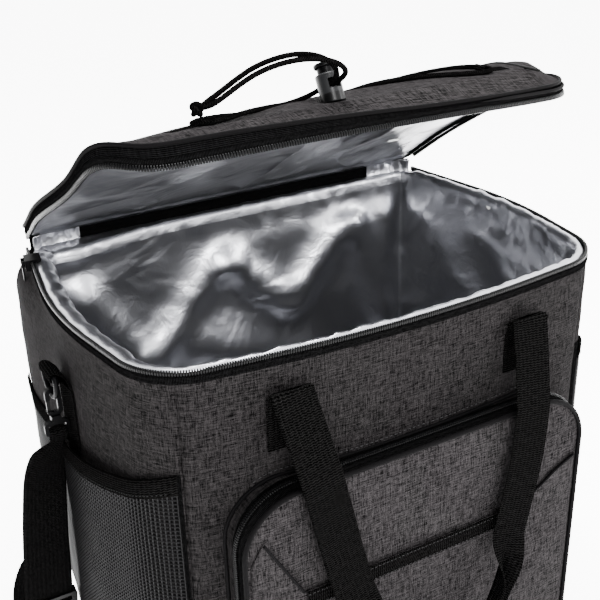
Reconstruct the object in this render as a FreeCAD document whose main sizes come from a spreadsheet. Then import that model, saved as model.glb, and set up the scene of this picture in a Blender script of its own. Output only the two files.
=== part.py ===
import FreeCAD, Part
import math
import os

import Sketcher
from FreeCAD import Placement, Rotation, Vector

# Insulated cooler bag, millimetres. +Z up, front towards -Y, origin at the centre
# of the base's underside. The lid stands partly open, as the bag is stored.

SIZES = {
    "body_width": 360,  # across the back corners
    "body_depth": 256,  # back face to the front corners
    "body_height": 340,
    "side_bulge": 20,  # how far the sides' middle line stands out before rounding
    "front_bulge": 21,
    "front_radius": 48,
    "back_radius": 14,
    "seam_half": 168,  # front panel's half width
    "shell_thickness": 1.4,
    "foam_thickness": 6,
    "liner_thickness": 0.8,
    "layer_gap": 0.2,
    "hinge_height": 350,
    "hinge_depth": 127,
    "lid_open_angle": 27,
    "lid_low": 351,
    "lid_edge_top": 362,
    "lid_rise": 3.2,  # the stuffed top stands this much above the lid's edge
    "band_low": 349.5,
    "coil_height": 2,
    "pocket_half": 140,
    "pocket_low": 18,
    "pocket_high": 254,
    "pocket_radius": 40,
    "pocket_face": 160,  # distance of the pocket's face from the bag's middle
    "slip_top": 177,
    "mesh_low": 20,
    "mesh_high": 228,
    "hem_height": 14,
    "mesh_bulge": 10.5,
    "webbing_width": 30,
    "webbing_thickness": 1.8,
    "handle_reach": 95,  # from the middle to each leg's centre
    "handle_axis_height": 316,
    "front_axis_depth": 146,
    "back_axis_depth": 134,
    "strap_width": 38,
    "strap_thickness": 2,
    "strap_reach": 228,  # from the middle to the strap's centre line
    "ring_reach": 208,  # from the middle to each D-ring's plane
    "ring_depth": -5,
    "ring_height": 297,  # centre of the D-ring's bow, where the strap swings
    "ring_bow": 15,
    "ring_wire": 1.9,
    "cord_diameter": 3.5,
    "lock_radius": 8,
    "lock_height": 20,
    "press_travel": 3,
}

doc = FreeCAD.newDocument("cooler_bag")
sheet = doc.addObject("Spreadsheet::Sheet", "sizes")
for row, (alias, value) in enumerate(SIZES.items(), start=1):
    sheet.set(f"A{row}", alias)
    sheet.set(f"B{row}", str(value))
    sheet.setAlias(f"B{row}", alias)
doc.recompute()


def size(alias):
    return float(sheet.get(alias))


NODES = []


def node(label, obj, placement=None):
    """Keeps an object as a sub-part; placement moves it from where it was drawn."""
    obj.Label = label
    NODES.append((label, obj, placement))
    return obj


# ---------------------------------------------------------------- outlines


def rounded(points, radii):
    """Lines and tangent arcs of a closed polygon whose corners have these radii."""
    count = len(points)
    corners = [Vector(x, y, 0) for x, y in points]
    starts, middles, ends = [], [], []
    for i, corner in enumerate(corners):
        back = (corners[i - 1] - corner).normalize()
        ahead = (corners[(i + 1) % count] - corner).normalize()
        half = back.getAngle(ahead) / 2
        reach = radii[i] / math.tan(half)
        inward = (back + ahead).normalize()
        starts.append(corner + back * reach)
        ends.append(corner + ahead * reach)
        middles.append(corner + inward * (radii[i] / math.sin(half) - radii[i]))
    outline = []
    for i in range(count):
        if radii[i] > 0:
            outline.append(Part.Arc(starts[i], middles[i], ends[i]))
        following = starts[(i + 1) % count]
        if (following - ends[i]).Length > 1e-6:
            outline.append(Part.LineSegment(ends[i], following))
    return outline


def inset_outline(outline, inset):
    """The same outline moved inwards by inset, or outwards when it is negative."""
    if abs(inset) < 1e-9:
        return outline
    wire = Part.Wire([curve.toShape() for curve in outline])
    moved = wire.makeOffset2D(-inset)
    result = []
    for edge in moved.OrderedEdges:
        first, last = edge.ParameterRange
        start, end = edge.valueAt(first), edge.valueAt(last)
        if isinstance(edge.Curve, Part.Line):
            result.append(Part.LineSegment(start, end))
        else:
            middle = edge.valueAt((first + last) / 2)
            result.append(Part.Arc(start, middle, end))
    return result


def rectangle(x0, x1, y0, y1, radius=0):
    return rounded([(x0, y0), (x1, y0), (x1, y1), (x0, y1)], [radius] * 4)


def band(points, radii, thickness):
    """A strip of even thickness along an open line of points with rounded corners."""
    line = [Vector(a, b, 0) for a, b in points]
    steps = [(b - a).normalize() for a, b in zip(line, line[1:])]
    sides = [Vector(-step.y, step.x, 0) for step in steps]
    left, right, left_radii, right_radii = [], [], [], []
    for i, corner in enumerate(line):
        before, after = sides[max(i - 1, 0)], sides[min(i, len(sides) - 1)]
        shift = (before + after) * (thickness / 2 / (1 + before.dot(after)))
        left.append((corner.x + shift.x, corner.y + shift.y))
        right.append((corner.x - shift.x, corner.y - shift.y))
        inner = 0 < i < len(line) - 1
        turn = steps[i - 1].cross(steps[i]).z if inner else 0
        change = math.copysign(thickness / 2, turn) if inner else 0
        left_radii.append(max(radii[i] - change, 0) if inner else 0)
        right_radii.append(radii[i] + change if inner else 0)
    return rounded(left + right[::-1], left_radii + right_radii[::-1])


def plan(inset, back_inset=0.0):
    """The bag's outline from above: straight back, bowed sides and front."""
    half, depth = size("body_width") / 2, size("body_depth") / 2
    side, front = half + size("side_bulge"), depth + size("front_bulge")
    back = depth - back_inset
    points = [(-half, back), (-side, -5), (-half, -depth), (0, -front)]
    points += [(half, -depth), (side, -5), (half, back)]
    soft = 320
    radii = [size("back_radius"), soft, size("front_radius"), 3 * soft]
    radii += [size("front_radius"), soft, size("back_radius")]
    return inset_outline(rounded(points, radii), inset)


def pocket_outline(grow):
    """The front pocket's outline seen from the front."""
    half, low, high = size("pocket_half"), size("pocket_low"), size("pocket_high")
    points = [(-half, low), (half, low), (half, high), (-half, high)]
    top = size("pocket_radius")
    return inset_outline(rounded(points, [24, 24, top, top]), -grow)


# ---------------------------------------------------------------- features


def new_sketch(body, plane, offset):
    """A sketch on one of the body's own origin planes, moved along its normal."""
    sketch = body.newObject("Sketcher::SketchObject", body.Name + "_sketch")
    origin = [f for f in body.Origin.OriginFeatures if f.Role == plane]
    sketch.AttachmentSupport = [(origin[0], "")]
    sketch.MapMode = "FlatFace"
    sketch.AttachmentOffset = Placement(Vector(0, 0, offset), Rotation())
    return sketch


def draw(sketch, outlines):
    for outline in outlines:
        for curve in outline:
            index = sketch.addGeometry(curve, False)
            sketch.addConstraint(Sketcher.Constraint("Block", index))


def pad(name, plane, outlines, low, length):
    """A body with one pad. length is a number or an expression on the sheet.

    XY pads rise along +Z from low. XZ pads grow towards -Y from y = -low.
    YZ pads grow along +X from low.
    """
    body = doc.addObject("PartDesign::Body", name)
    sketch = new_sketch(body, plane, low)
    draw(sketch, outlines)
    add_pad(body, sketch, length)
    return body


def add_pad(body, sketch, length):
    feature = body.newObject("PartDesign::Pad", body.Name + "_pad")
    feature.Profile = sketch
    if isinstance(length, str):
        feature.setExpression("Length", length)
    else:
        feature.Length = length
    return feature


def more_pad(body, plane, outlines, low, length):
    sketch = new_sketch(body, plane, low)
    draw(sketch, outlines)
    return add_pad(body, sketch, length)


def pocket_through(body, plane, outlines, low, length):
    """Cuts towards the sketch plane's normal, and proves that it cut something."""
    doc.recompute()
    before = body.Shape.Volume
    sketch = new_sketch(body, plane, low)
    draw(sketch, outlines)
    feature = body.newObject("PartDesign::Pocket", body.Name + "_pocket")
    feature.Profile = sketch
    feature.Length = length
    feature.Reversed = True
    doc.recompute()
    if body.Shape.Volume > before - 0.01:
        raise RuntimeError(f"the pocket in {body.Name} cut nothing")
    return feature


def box(name, xs, ys, zs):
    """A Part::Box between two corners, each number or sheet expression."""
    made = doc.addObject("Part::Box", name)
    for side, axis, (low, high) in zip(("Length", "Width", "Height"), "xyz", (xs, ys, zs)):
        made.setExpression(side, f"({high}) - ({low})")
        made.setExpression(f"Placement.Base.{axis}", f"({low}) * 1")
    return made


def both(kind, name, base, tool):
    made = doc.addObject("Part::" + kind, name)
    made.Base = base
    made.Tool = tool
    return made


def cut(name, base, tool):
    return both("Cut", name, base, tool)


def common(name, base, tool):
    return both("Common", name, base, tool)


def shaped(name, shape):
    made = doc.addObject("Part::Feature", name)
    made.Shape = shape
    return made


def ring(name, outer, inner, low, length):
    """A wall that follows the bag's plan between two insets."""
    return pad(name, "XY_Plane", [plan(outer), plan(inner)], low, length)


def round_path(points, report=None):
    """Straight runs joined by tangent arcs as large as the runs allow."""
    corners = [Vector(*p) for p in points]
    edges, at = [], corners[0]
    radii = []
    for i in range(1, len(corners) - 1):
        back = corners[i - 1] - corners[i]
        ahead = corners[i + 1] - corners[i]
        reach = 0.45 * min(back.Length, ahead.Length)
        back.normalize()
        ahead.normalize()
        half = back.getAngle(ahead) / 2
        radius = reach * math.tan(half)
        radii.append(round(radius, 1))
        middle = corners[i] + (back + ahead).normalize() * (radius / math.sin(half) - radius)
        start, end = corners[i] + back * reach, corners[i] + ahead * reach
        edges.append(Part.LineSegment(at, start).toShape())
        edges.append(Part.Arc(start, middle, end).toShape())
        at = end
    edges.append(Part.LineSegment(at, corners[-1]).toShape())
    if report:
        print(f"{report}: radii {radii}")
    return Part.Wire(edges)


def tube(points, diameter, report=None):
    """A round cord along a path of runs and arcs, its volume checked."""
    path = round_path(points, report)
    start = Vector(*points[0])
    direction = Vector(*points[1]) - start
    circle = Part.makeCircle(diameter / 2, start, direction)
    solid = path.makePipeShell([Part.Wire([circle])], True, True)
    expected = math.pi * diameter**2 / 4 * path.Length
    if abs(solid.Volume / expected - 1) > 0.02:
        raise RuntimeError(f"{report}: volume {solid.Volume:.0f}, expected {expected:.0f}")
    if report:
        print(f"{report}: length {path.Length:.0f} mm, volume {solid.Volume / expected:.3f}")
    return solid


def about(point, axis, angle):
    """The placement that turns a piece about a line in space."""
    return Placement(Vector(0, 0, 0), Rotation(Vector(*axis), angle), Vector(*point))


# ---------------------------------------------------------------- body shell


def cut_in_four(names, wall, low, high):
    """Splits a wall into front, back, left and right boards at the seams."""
    seam, far = size("seam_half"), 400
    back_seam = size("body_depth") / 2 - 16
    gap = size("layer_gap") / 2
    spans = {
        "front": ((-seam + gap, seam - gap), (-far, -40)),
        "back": ((-far, far), (back_seam + gap, far)),
        "left": ((-far, -seam - gap), (-far, back_seam - gap)),
        "right": ((seam + gap, far), (-far, back_seam - gap)),
    }
    for side, (xs, ys) in spans.items():
        slab = box(f"{names[side]}_region", xs, ys, (low, high))
        node(names[side], common(names[side], wall, slab))


def outer_panels():
    thickness = size("shell_thickness")
    node("base_panel", pad("base_panel", "XY_Plane", [plan(0)], 0, "sizes.shell_thickness"))
    low, high = thickness + 0.1, size("body_height") - 2
    wall = ring("shell_wall", 0, thickness, low, high - low)
    names = {"front": "front_panel", "back": "back_panel"}
    names.update({"left": "left_side_panel", "right": "right_side_panel"})
    cut_in_four(names, wall, low, high)


def foam_boards():
    outside = size("shell_thickness") + size("layer_gap")
    inside = outside + size("foam_thickness")
    floor_low = size("shell_thickness") + 0.3
    node(
        "base_foam",
        pad("base_foam", "XY_Plane", [plan(outside)], floor_low, "sizes.foam_thickness"),
    )
    low, high = floor_low + size("foam_thickness") + 0.2, size("body_height") - 5
    wall = ring("foam_wall", outside, inside, low, high - low)
    names = {side: f"{side}_foam" for side in ("front", "back", "left", "right")}
    cut_in_four(names, wall, low, high)


def liner():
    outside = size("shell_thickness") + size("foam_thickness") + 2 * size("layer_gap")
    inside = outside + size("liner_thickness")
    low = size("shell_thickness") + size("foam_thickness") + 0.6
    tub = pad("liner", "XY_Plane", [plan(outside)], low, f"sizes.body_height - 3 - {low}")
    floor = low + size("liner_thickness")
    pocket_through(tub, "XY_Plane", [plan(inside)], floor, size("body_height"))
    node("liner", tub)
    collar = ring("liner_collar", 1.6, inside, size("body_height") - 1.8, 2)
    node("liner_collar", collar)


def zip_half(prefix, tape_low, tape_high, coil_low):
    """Tape and coil of the main zip along the sides and front, open at the back."""
    open_back = ((-400, 400), (-400, 116))
    tape = ring(f"{prefix}_tape_wall", -1.1, -0.2, tape_low, tape_high - tape_low)
    tape_region = box(f"{prefix}_tape_region", *open_back, (tape_low - 1, tape_high + 1))
    coil = ring(f"{prefix}_coil_wall", -1.6, 1.4, coil_low, "sizes.coil_height")
    coil_region = box(f"{prefix}_coil_region", *open_back, (coil_low - 1, coil_low + 5))
    tape_part = common(f"{prefix}_tape", tape, tape_region)
    coil_part = common(f"{prefix}_coil", coil, coil_region)
    return tape_part, coil_part


def lower_zip():
    top = size("body_height")
    tape, coil = zip_half("main_zip_lower", top - 14, top + 0.6, top + 0.8)
    node("main_zip_lower_tape", tape)
    node("main_zip_lower_coil", coil)
    half = size("body_width") / 2 - 18
    strip = box("hinge_strip", (-half, half), (125.6, 126.8), (top + 0.4, top + 7.5))
    node("hinge_strip", strip)


# ---------------------------------------------------------------- front pocket


def outside_of_bag(name, low, high, gap=0.2):
    """The bag's block, a little larger, for cutting what lies on its face."""
    return pad(name, "XY_Plane", [plan(-gap)], low, high - low)


def front_pocket():
    face = size("pocket_face")
    inner_start = 110
    depth = face - inner_start
    bag = outside_of_bag("bag_block_pocket", 0, 300)
    gusset = pad(
        "gusset_band", "XZ_Plane", [pocket_outline(0), pocket_outline(-1.4)], inner_start, depth
    )
    node("front_pocket_gusset", cut("front_pocket_gusset", gusset, bag))
    panel = pad("front_pocket_panel", "XZ_Plane", [pocket_outline(-2)], face + 0.2, 1.6)
    node("front_pocket_panel", panel)
    piping = pad(
        "front_pocket_piping", "XZ_Plane", [pocket_outline(1.8), pocket_outline(-1.8)], face + 0.2, 3
    )
    node("front_pocket_piping", piping)
    above = ((-400, 400), (-400, 0), (60, 400))
    tape = pad(
        "pocket_tape_band", "XZ_Plane", [pocket_outline(1.0), pocket_outline(0.1)], face - 16, 14
    )
    coil = pad(
        "pocket_coil_band", "XZ_Plane", [pocket_outline(2.8), pocket_outline(1.1)], face - 10.5, 3
    )
    for label, band in (("pocket_zip_tape", tape), ("pocket_zip_coil", coil)):
        node(label, common(label, band, box(f"{label}_region", *above)))


def slip_pocket():
    top, face = size("slip_top"), size("pocket_face") + 2
    side = size("pocket_half") - 4
    low = size("pocket_low") + 6
    points = [(-side, low), (side, low), (side, top + 24), (side - 20, top + 17)]
    points += [(side - 52, top), (-side + 36, top), (-side + 8, top + 50), (-side, top + 36)]
    outline = rounded(points, [18, 18, 2, 2, 4, 4, 2, 2])
    node("slip_pocket_panel", pad("slip_pocket_panel", "XZ_Plane", [outline], face, 1.2))
    strip = rectangle(-side + 38, side - 56, top - 12, top)
    node("slip_pocket_webbing", pad("slip_pocket_webbing", "XZ_Plane", [strip], face + 1.4, 1.2))


# ---------------------------------------------------------------- side pockets


HEM_LINE = [(-150, 277), (-93, 252), (-40, 238), (0, 233), (60, 226), (140, 229)]
HEM_RADII = [0, 200, 200, 200, 200, 0]


def side_bow(sign, extra, inset):
    """Plan of a side pocket: from the front corner's seam to the back, bowed outwards."""
    grow = extra - size("mesh_bulge")
    points = [(165, -125.5 - grow), (190 + grow, -127 - grow), (209.5 + grow, -5)]
    points += [(183.2 + grow, 116), (150, 116), (150, -118)]
    radii = [2, 26, 320, 1.3, 2, 2]
    points = [(sign * x, y) for x, y in points]
    if sign < 0:
        points, radii = points[::-1], radii[::-1]
    return inset_outline(rounded(points, radii), inset)


def side_pockets():
    """Net cups with a sloping elastic hem, higher at the front than at the back."""
    low, hem = size("mesh_low"), size("hem_height")
    bulge = size("mesh_bulge")
    bag = outside_of_bag("bag_block_sides", 0, 320)
    under = [(y, z - hem / 2 - 1.0) for y, z in HEM_LINE]
    below = rounded([(-150, 0)] + under + [(140, 0)], [0, 0, 200, 200, 200, 200, 0, 0])
    for side, sign in (("left", -1), ("right", 1)):
        cup = pad(f"{side}_cup", "XY_Plane", [side_bow(sign, bulge, 0)], low, 270)
        pocket_through(cup, "XY_Plane", [side_bow(sign, bulge, 1.2)], low + 1.2, 300)
        keep = pad(f"{side}_net_region", "YZ_Plane", [below], -300, 600)
        net = common(f"{side}_net_cut", cup, keep)
        node(f"{side}_mesh_pocket", cut(f"{side}_mesh_pocket", net, bag))
        rim = [side_bow(sign, bulge + 0.2, 0), side_bow(sign, bulge, 1.2)]
        tall = pad(f"{side}_hem_wall", "XY_Plane", rim, low, 280)
        strip = pad(f"{side}_hem_region", "YZ_Plane", [band(HEM_LINE, HEM_RADII, hem)], -300, 600)
        edge = common(f"{side}_hem_cut", tall, strip)
        node(f"{side}_mesh_hem", cut(f"{side}_mesh_hem", edge, bag))


# ---------------------------------------------------------------- handles


def handle_tabs():
    """Sewn webbing behind each handle leg, its top end curled round the leg's roll."""
    reach, half = size("handle_reach"), size("webbing_width") / 2
    low, axis_z = 276, size("handle_axis_height")
    skin = ring("tab_skin", -1.9, -0.2, low, axis_z - low)
    bag = outside_of_bag("bag_block_tabs", 270, 330)
    spans = [(-reach - half, -reach + half), (reach - half, reach + half)]
    for side, sign in (("front", -1), ("back", 1)):
        axis_y = sign * size(f"{side}_axis_depth")
        label = f"{side}_handle_tabs"
        ys = (-400, 0) if sign < 0 else (0, 400)
        pair = doc.addObject("Part::MultiFuse", f"{label}_pair")
        pair.Shapes = [box(f"{label}_slab", xs, ys, (low, axis_z)) for xs in spans]
        plates = common(f"{label}_plates", skin, pair)
        curls = [tab_curl(xs, sign, axis_y, axis_z) for xs in spans]
        curl = shaped(f"{label}_curls", Part.makeCompound(curls))
        curl = cut(f"{label}_curls_outside", curl, bag)
        node(label, both("Fuse", label, plates, curl))


def tab_curl(xs, sign, axis_y, axis_z):
    """The bag's side of a tube round the handle's axis, with a strip to the plate."""
    width = xs[1] - xs[0]
    outer = Part.makeCylinder(5, width, Vector(xs[0], axis_y, axis_z), Vector(1, 0, 0))
    inner = Part.makeCylinder(3.1, width, Vector(xs[0], axis_y, axis_z), Vector(1, 0, 0))
    near, far = sorted((axis_y - sign * 3.6, axis_y - sign * 12))
    strip = Part.makeBox(width, far - near, 6, Vector(xs[0], near, axis_z - 4))
    low_y, high_y = sorted((axis_y - sign * 1.4, axis_y + sign * 20))
    keep_out = Part.makeBox(width, high_y - low_y, 20, Vector(xs[0], low_y, axis_z - 10))
    return outer.fuse(strip).cut(inner).cut(keep_out)


HANDLE_LINE = {
    # how far out and how far down from the axis the webbing lies
    "front": [(0, 0), (9, -24), (19.6, -56), (24, -92), (26, -146), (30, -196), (34, -240)],
    "back": [(0, 0), (2, -24), (6, -56), (9, -92), (12, -146), (15, -196), (18, -240)],
}


def handle(side, sign):
    """Two converging legs, a folded grip, and a roll at the top of each leg."""
    axis_y, axis_z = sign * size(f"{side}_axis_depth"), size("handle_axis_height")
    line = [(axis_y + sign * out, axis_z + down) for out, down in HANDLE_LINE[side]]
    radii = [0] + [60] * (len(line) - 2) + [0]
    label = f"{side}_handle"
    width = 2 * (size("handle_reach") + size("webbing_width"))
    sheet_of = {}
    for kind, thickness in (("web", size("webbing_thickness")), ("fold", 5)):
        outline = band(line, radii, thickness)
        sheet_of[kind] = pad(f"{label}_{kind}", "YZ_Plane", [outline], -width / 2, width)
    outer = [(110, 2.5), (97, -80), (80, -160), (44, -234)]
    inner = [(80, 2.5), (67, -74), (53, -142), (50, -165), (30, -216)]
    points = outer + [(-x, z) for x, z in reversed(outer)]
    points += [(-x, z) for x, z in inner] + list(reversed(inner))
    corner_radii = [0, 160, 60, 20, 20, 60, 160, 0]
    corner_radii += [0, 150, 2, 2, 16, 16, 2, 2, 150, 0]
    legs = rounded([(x, z + axis_z) for x, z in points], corner_radii)
    grip_line = [(68, -188), (44, -234.5), (-44, -234.5), (-68, -188)]
    grip_line += [(-54, -180), (-30, -215.5), (30, -215.5), (54, -180)]
    grip = rounded([(x, z + axis_z) for x, z in grip_line], [2, 20, 20, 2, 2, 16, 16, 2])
    leg_block = pad(f"{label}_legs", "XZ_Plane", [legs], -300, 600)
    grip_block = pad(f"{label}_grip", "XZ_Plane", [grip], -300, 600)
    parts = [common(f"{label}_leg_web", sheet_of["web"], leg_block)]
    parts.append(common(f"{label}_grip_web", sheet_of["fold"], grip_block))
    reach, half = size("handle_reach"), size("webbing_width") / 2
    for x in (-reach, reach):
        roll = Part.makeCylinder(2.7, 2 * half, Vector(x - half, axis_y, axis_z), Vector(1, 0, 0))
        parts.append(shaped(f"{label}_roll", roll))
    whole = doc.addObject("Part::MultiFuse", label)
    whole.Shapes = parts
    node(label, whole)


def handles():
    handle_tabs()
    handle("front", -1)
    handle("back", 1)


# ---------------------------------------------------------------- shoulder strap


def strap_anchors():
    """Side webbing with a folded loop, and the D-ring that hangs in it."""
    reach, y_mid = size("ring_reach"), size("ring_depth")
    bar_z = size("ring_height") + 3
    skin = ring("strap_tab_skin", -1.9, -0.2, 226, 88)
    for side, sign in (("left", -1), ("right", 1)):
        xs = (-400, 0) if sign < 0 else (0, 400)
        slab = box(f"{side}_tab_region", xs, (y_mid - 15, y_mid + 15), (226, 314))
        plate = common(f"{side}_tab_plate", skin, slab)
        eye = Part.makeCylinder(4.4, 24, Vector(sign * reach, y_mid - 12, bar_z), Vector(0, 1, 0))
        bore = Part.makeCylinder(2.3, 40, Vector(sign * reach, y_mid - 20, bar_z), Vector(0, 1, 0))
        inner_x = size("body_width") / 2 + size("side_bulge") - 2.8
        low_x, high_x = sorted((sign * inner_x, sign * (reach + 1)))
        fold = Part.makeBox(high_x - low_x, 24, 2, Vector(low_x, y_mid - 12, bar_z + 2.4))
        loop = shaped(f"{side}_tab_loop", eye.fuse(fold).cut(bore))
        node(f"{side}_strap_tab", both("Fuse", f"{side}_strap_tab", plate, loop))
        node(f"{side}_d_ring", shaped(f"{side}_d_ring", d_ring(sign * reach, y_mid, bar_z)))


def d_ring(x, y_mid, bar_z):
    """A wire D: a straight bar above, a half-round bow below."""
    half, wire = size("ring_bow"), size("ring_wire")
    bottom_z = size("ring_height") - half
    corners = [(y_mid - half, bar_z), (y_mid - half, bottom_z)]
    corners += [(y_mid + half, bottom_z), (y_mid + half, bar_z)]
    flat = rounded(corners, [2, half - 0.01, half - 0.01, 2])
    path = Part.Wire([curve.toShape() for curve in flat])
    path.Placement = Placement(Vector(x, 0, 0), Rotation(Vector(1, 1, 1), 120))
    begin = path.OrderedVertexes[0].Point
    profile = Part.Wire([Part.makeCircle(wire, begin, Vector(0, 1, 0))])
    return path.makePipeShell([profile], True, False)


GATE_PIN, GATE_HOLE = 0.6, 0.68


def snap_hook(side, sign):
    """A flat hook with its gate's slot and fork, a neck, and the strap's eye."""
    x, y = sign * size("ring_reach"), size("ring_depth")
    top = size("ring_height") - size("ring_bow") + size("ring_wire") + 0.3 + 3.2
    wire = 1.6
    label = f"{side}_snap_hook"
    flat = [(x - 5.6, top), (x - 5.6, top - 22), (x + 5.6, top - 22), (x + 5.6, top)]
    outer = rounded(flat, [4.5] * 4)
    body = pad(label, "XZ_Plane", [outer, inset_outline(outer, 2 * wire)], -y - wire, 2 * wire)
    more_pad(body, "XZ_Plane", [rectangle(x - 3.4, x + 3.4, top - 27, top - 21.6, 1)], -y - 3, 6)
    eye = rectangle(x - 9, x + 9, top - 37, top - 26.6, 3)
    eye_hole = rectangle(x - 6.4, x + 6.4, top - 34.6, top - 29, 1)
    more_pad(body, "XZ_Plane", [eye, eye_hole], -y - 2, 4)
    gap_low, gap_high = top - 17.5, top - 9
    near, far = sorted((x, x + sign * 30))
    slot = rectangle(near, far, gap_low, gap_high)
    pocket_through(body, "XZ_Plane", [slot], -y - 6, 12)
    fork = rectangle(near, far, gap_low - 3.4, gap_low + 1)
    pocket_through(body, "XZ_Plane", [fork], -y - 1.1, 2.2)
    bar_x, pin_z = x + sign * 4, gap_low - 1.5
    hole = [Part.Circle(Vector(bar_x, pin_z, 0), Vector(0, 0, 1), GATE_HOLE)]
    pocket_through(body, "XZ_Plane", [hole], -y - 6, 12)
    node(label, body)
    gate_outline = rectangle(bar_x - 1.2, bar_x + 1.2, pin_z - 1.1, gap_high - 0.35, 0.6)
    gate = pad(f"{side}_hook_gate", "XZ_Plane", [gate_outline], -y - 0.85, 1.7)
    pin = [Part.Circle(Vector(bar_x, pin_z, 0), Vector(0, 0, 1), GATE_PIN)]
    more_pad(gate, "XZ_Plane", [pin], -y - 1.55, 3.1)
    node(f"{side}_hook_gate", gate)


STRAP_TOP = 249
STRAP_LINE = [(-5, STRAP_TOP), (2, 190), (11, 130), (34, 50), (60, 14), (92, 1), (124, 1)]
STRAP_RADII = [0, 200, 160, 80, 60, 60, 0]
FLOOR_RADIUS = 80


def strap_side(sign):
    """One strand: narrow at the hook, full width below, bending on to the floor."""
    x, half = sign * size("strap_reach"), size("strap_width") / 2
    ring_x = sign * size("ring_reach")
    line = pad(f"strap_line_{half + x:.0f}", "YZ_Plane",
               [band(STRAP_LINE, STRAP_RADII, size("strap_thickness"))], x - 60, 120)
    inner, outer = x - sign * half, x + sign * half
    points = [(inner, -5), (outer, -5), (outer, STRAP_TOP - 34), (ring_x + sign * 6, STRAP_TOP + 3)]
    points += [(ring_x - sign * 5, STRAP_TOP + 3), (ring_x + sign * 0.6, STRAP_TOP - 10)]
    points += [(inner, STRAP_TOP - 34)]
    face = pad(f"strap_width_{half + x:.0f}", "XZ_Plane",
               [rounded(points, [0, 0, 20, 2, 2, 8, 20])], -300, 600)
    return common(f"strap_strand_{half + x:.0f}", line, face)


def strap_loop(sign):
    """The sewn loop at a strand's top end, round the lower bar of the hook's eye."""
    x, y = sign * size("ring_reach"), size("ring_depth")
    loop = Part.makeBox(12, 8.4, 8.2, Vector(x - 6, y - 4.2, 247))
    return loop.cut(Part.makeBox(30, 4.8, 3, Vector(x - 15, y - 2.4, 250.1)))


def strap_floor(sign):
    """The flat quarter turn on the floor from one side towards the back."""
    x, y_end = sign * size("strap_reach"), STRAP_LINE[-1][0]
    half, thick = size("strap_width") / 2, size("strap_thickness")
    middle = Vector(x - sign * FLOOR_RADIUS, y_end, 0)
    outer = Part.makeCylinder(FLOOR_RADIUS + half, thick, middle)
    inner = Part.makeCylinder(FLOOR_RADIUS - half, thick, middle)
    corner_x = middle.x if sign > 0 else middle.x - 200
    corner = Part.makeBox(200, 200, thick, Vector(corner_x, middle.y, 0))
    return outer.cut(inner).common(corner)


def shoulder_strap():
    """Down each side, round on the floor and across behind the bag."""
    half, thick = size("strap_width") / 2, size("strap_thickness")
    strands = [strap_side(-1), strap_side(1)]
    run = size("strap_reach") - FLOOR_RADIUS
    y_run = STRAP_LINE[-1][0] + FLOOR_RADIUS
    across = Part.makeBox(2 * run, 2 * half, thick, Vector(-run, y_run - half, 0))
    for name, piece in (("left", strap_floor(-1)), ("right", strap_floor(1)), ("back", across)):
        strands.append(shaped(f"strap_floor_{name}", piece))
    strands += [shaped("strap_loop", strap_loop(sign)) for sign in (-1, 1)]
    whole = doc.addObject("Part::MultiFuse", "shoulder_strap")
    whole.Shapes = strands
    whole.Refine = True
    node("shoulder_strap", whole)
    flat = [(a, b) for a, b in STRAP_LINE]
    down = sum(math.dist(a, b) for a, b in zip(flat, flat[1:]))
    length = 2 * (down + math.pi / 2 * FLOOR_RADIUS) + 2 * run
    doc.recompute()
    share = whole.Shape.Volume / (length * 2 * half * thick)
    print(f"shoulder_strap: length {length:.0f} mm, volume {share:.3f}")


def strap_adjuster():
    """A two-slot slide on the left strand, tilted with it."""
    (y0, z0), (y1, z1) = STRAP_LINE[2], STRAP_LINE[3]
    share = 0.65
    y, z = y0 + (y1 - y0) * share, z0 + (z1 - z0) * share
    frame = pad("strap_adjuster", "XZ_Plane", [rectangle(-22, 22, -12, 12, 3)], -3.4, 6.8)
    pocket_through(frame, "XY_Plane", [rectangle(-19.6, 19.6, -1.6, 1.6)], -30, 60)
    for low in (-8, 2):
        window = rectangle(-17.5, 17.5, low, low + 6, 1)
        pocket_through(frame, "XZ_Plane", [window], -10, 20)
    tilt = math.degrees(math.atan2(y1 - y0, z0 - z1))
    at = Placement(Vector(-size("strap_reach"), y, z), Rotation(Vector(1, 0, 0), tilt))
    node("strap_adjuster", frame, at)


def carrying_strap():
    strap_anchors()
    for side, sign in (("left", -1), ("right", 1)):
        snap_hook(side, sign)
    shoulder_strap()
    strap_adjuster()


# ---------------------------------------------------------------- lid

lid_axis = (0, size("hinge_depth"), size("hinge_height"))
lid_pose = about(lid_axis, (-1, 0, 0), size("lid_open_angle"))
LID_BACK = 4.0


def lid_plan(inset):
    return plan(inset, LID_BACK)


def wire_at(inset, z):
    wire = Part.Wire([curve.toShape() for curve in lid_plan(inset)])
    wire.translate(Vector(0, 0, z))
    return wire


def plate(inset, low, thickness):
    return Part.Face(wire_at(inset, low)).extrude(Vector(0, 0, thickness))


def dome(inset, low, extra=0.0):
    """The stuffed top: sloped all round, flat on top, rising from the lid's edge."""
    shoulder = inset + 15
    rise = size("lid_rise") + extra
    return Part.makeLoft([wire_at(inset, low), wire_at(shoulder, low + rise)], True, True)


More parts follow.
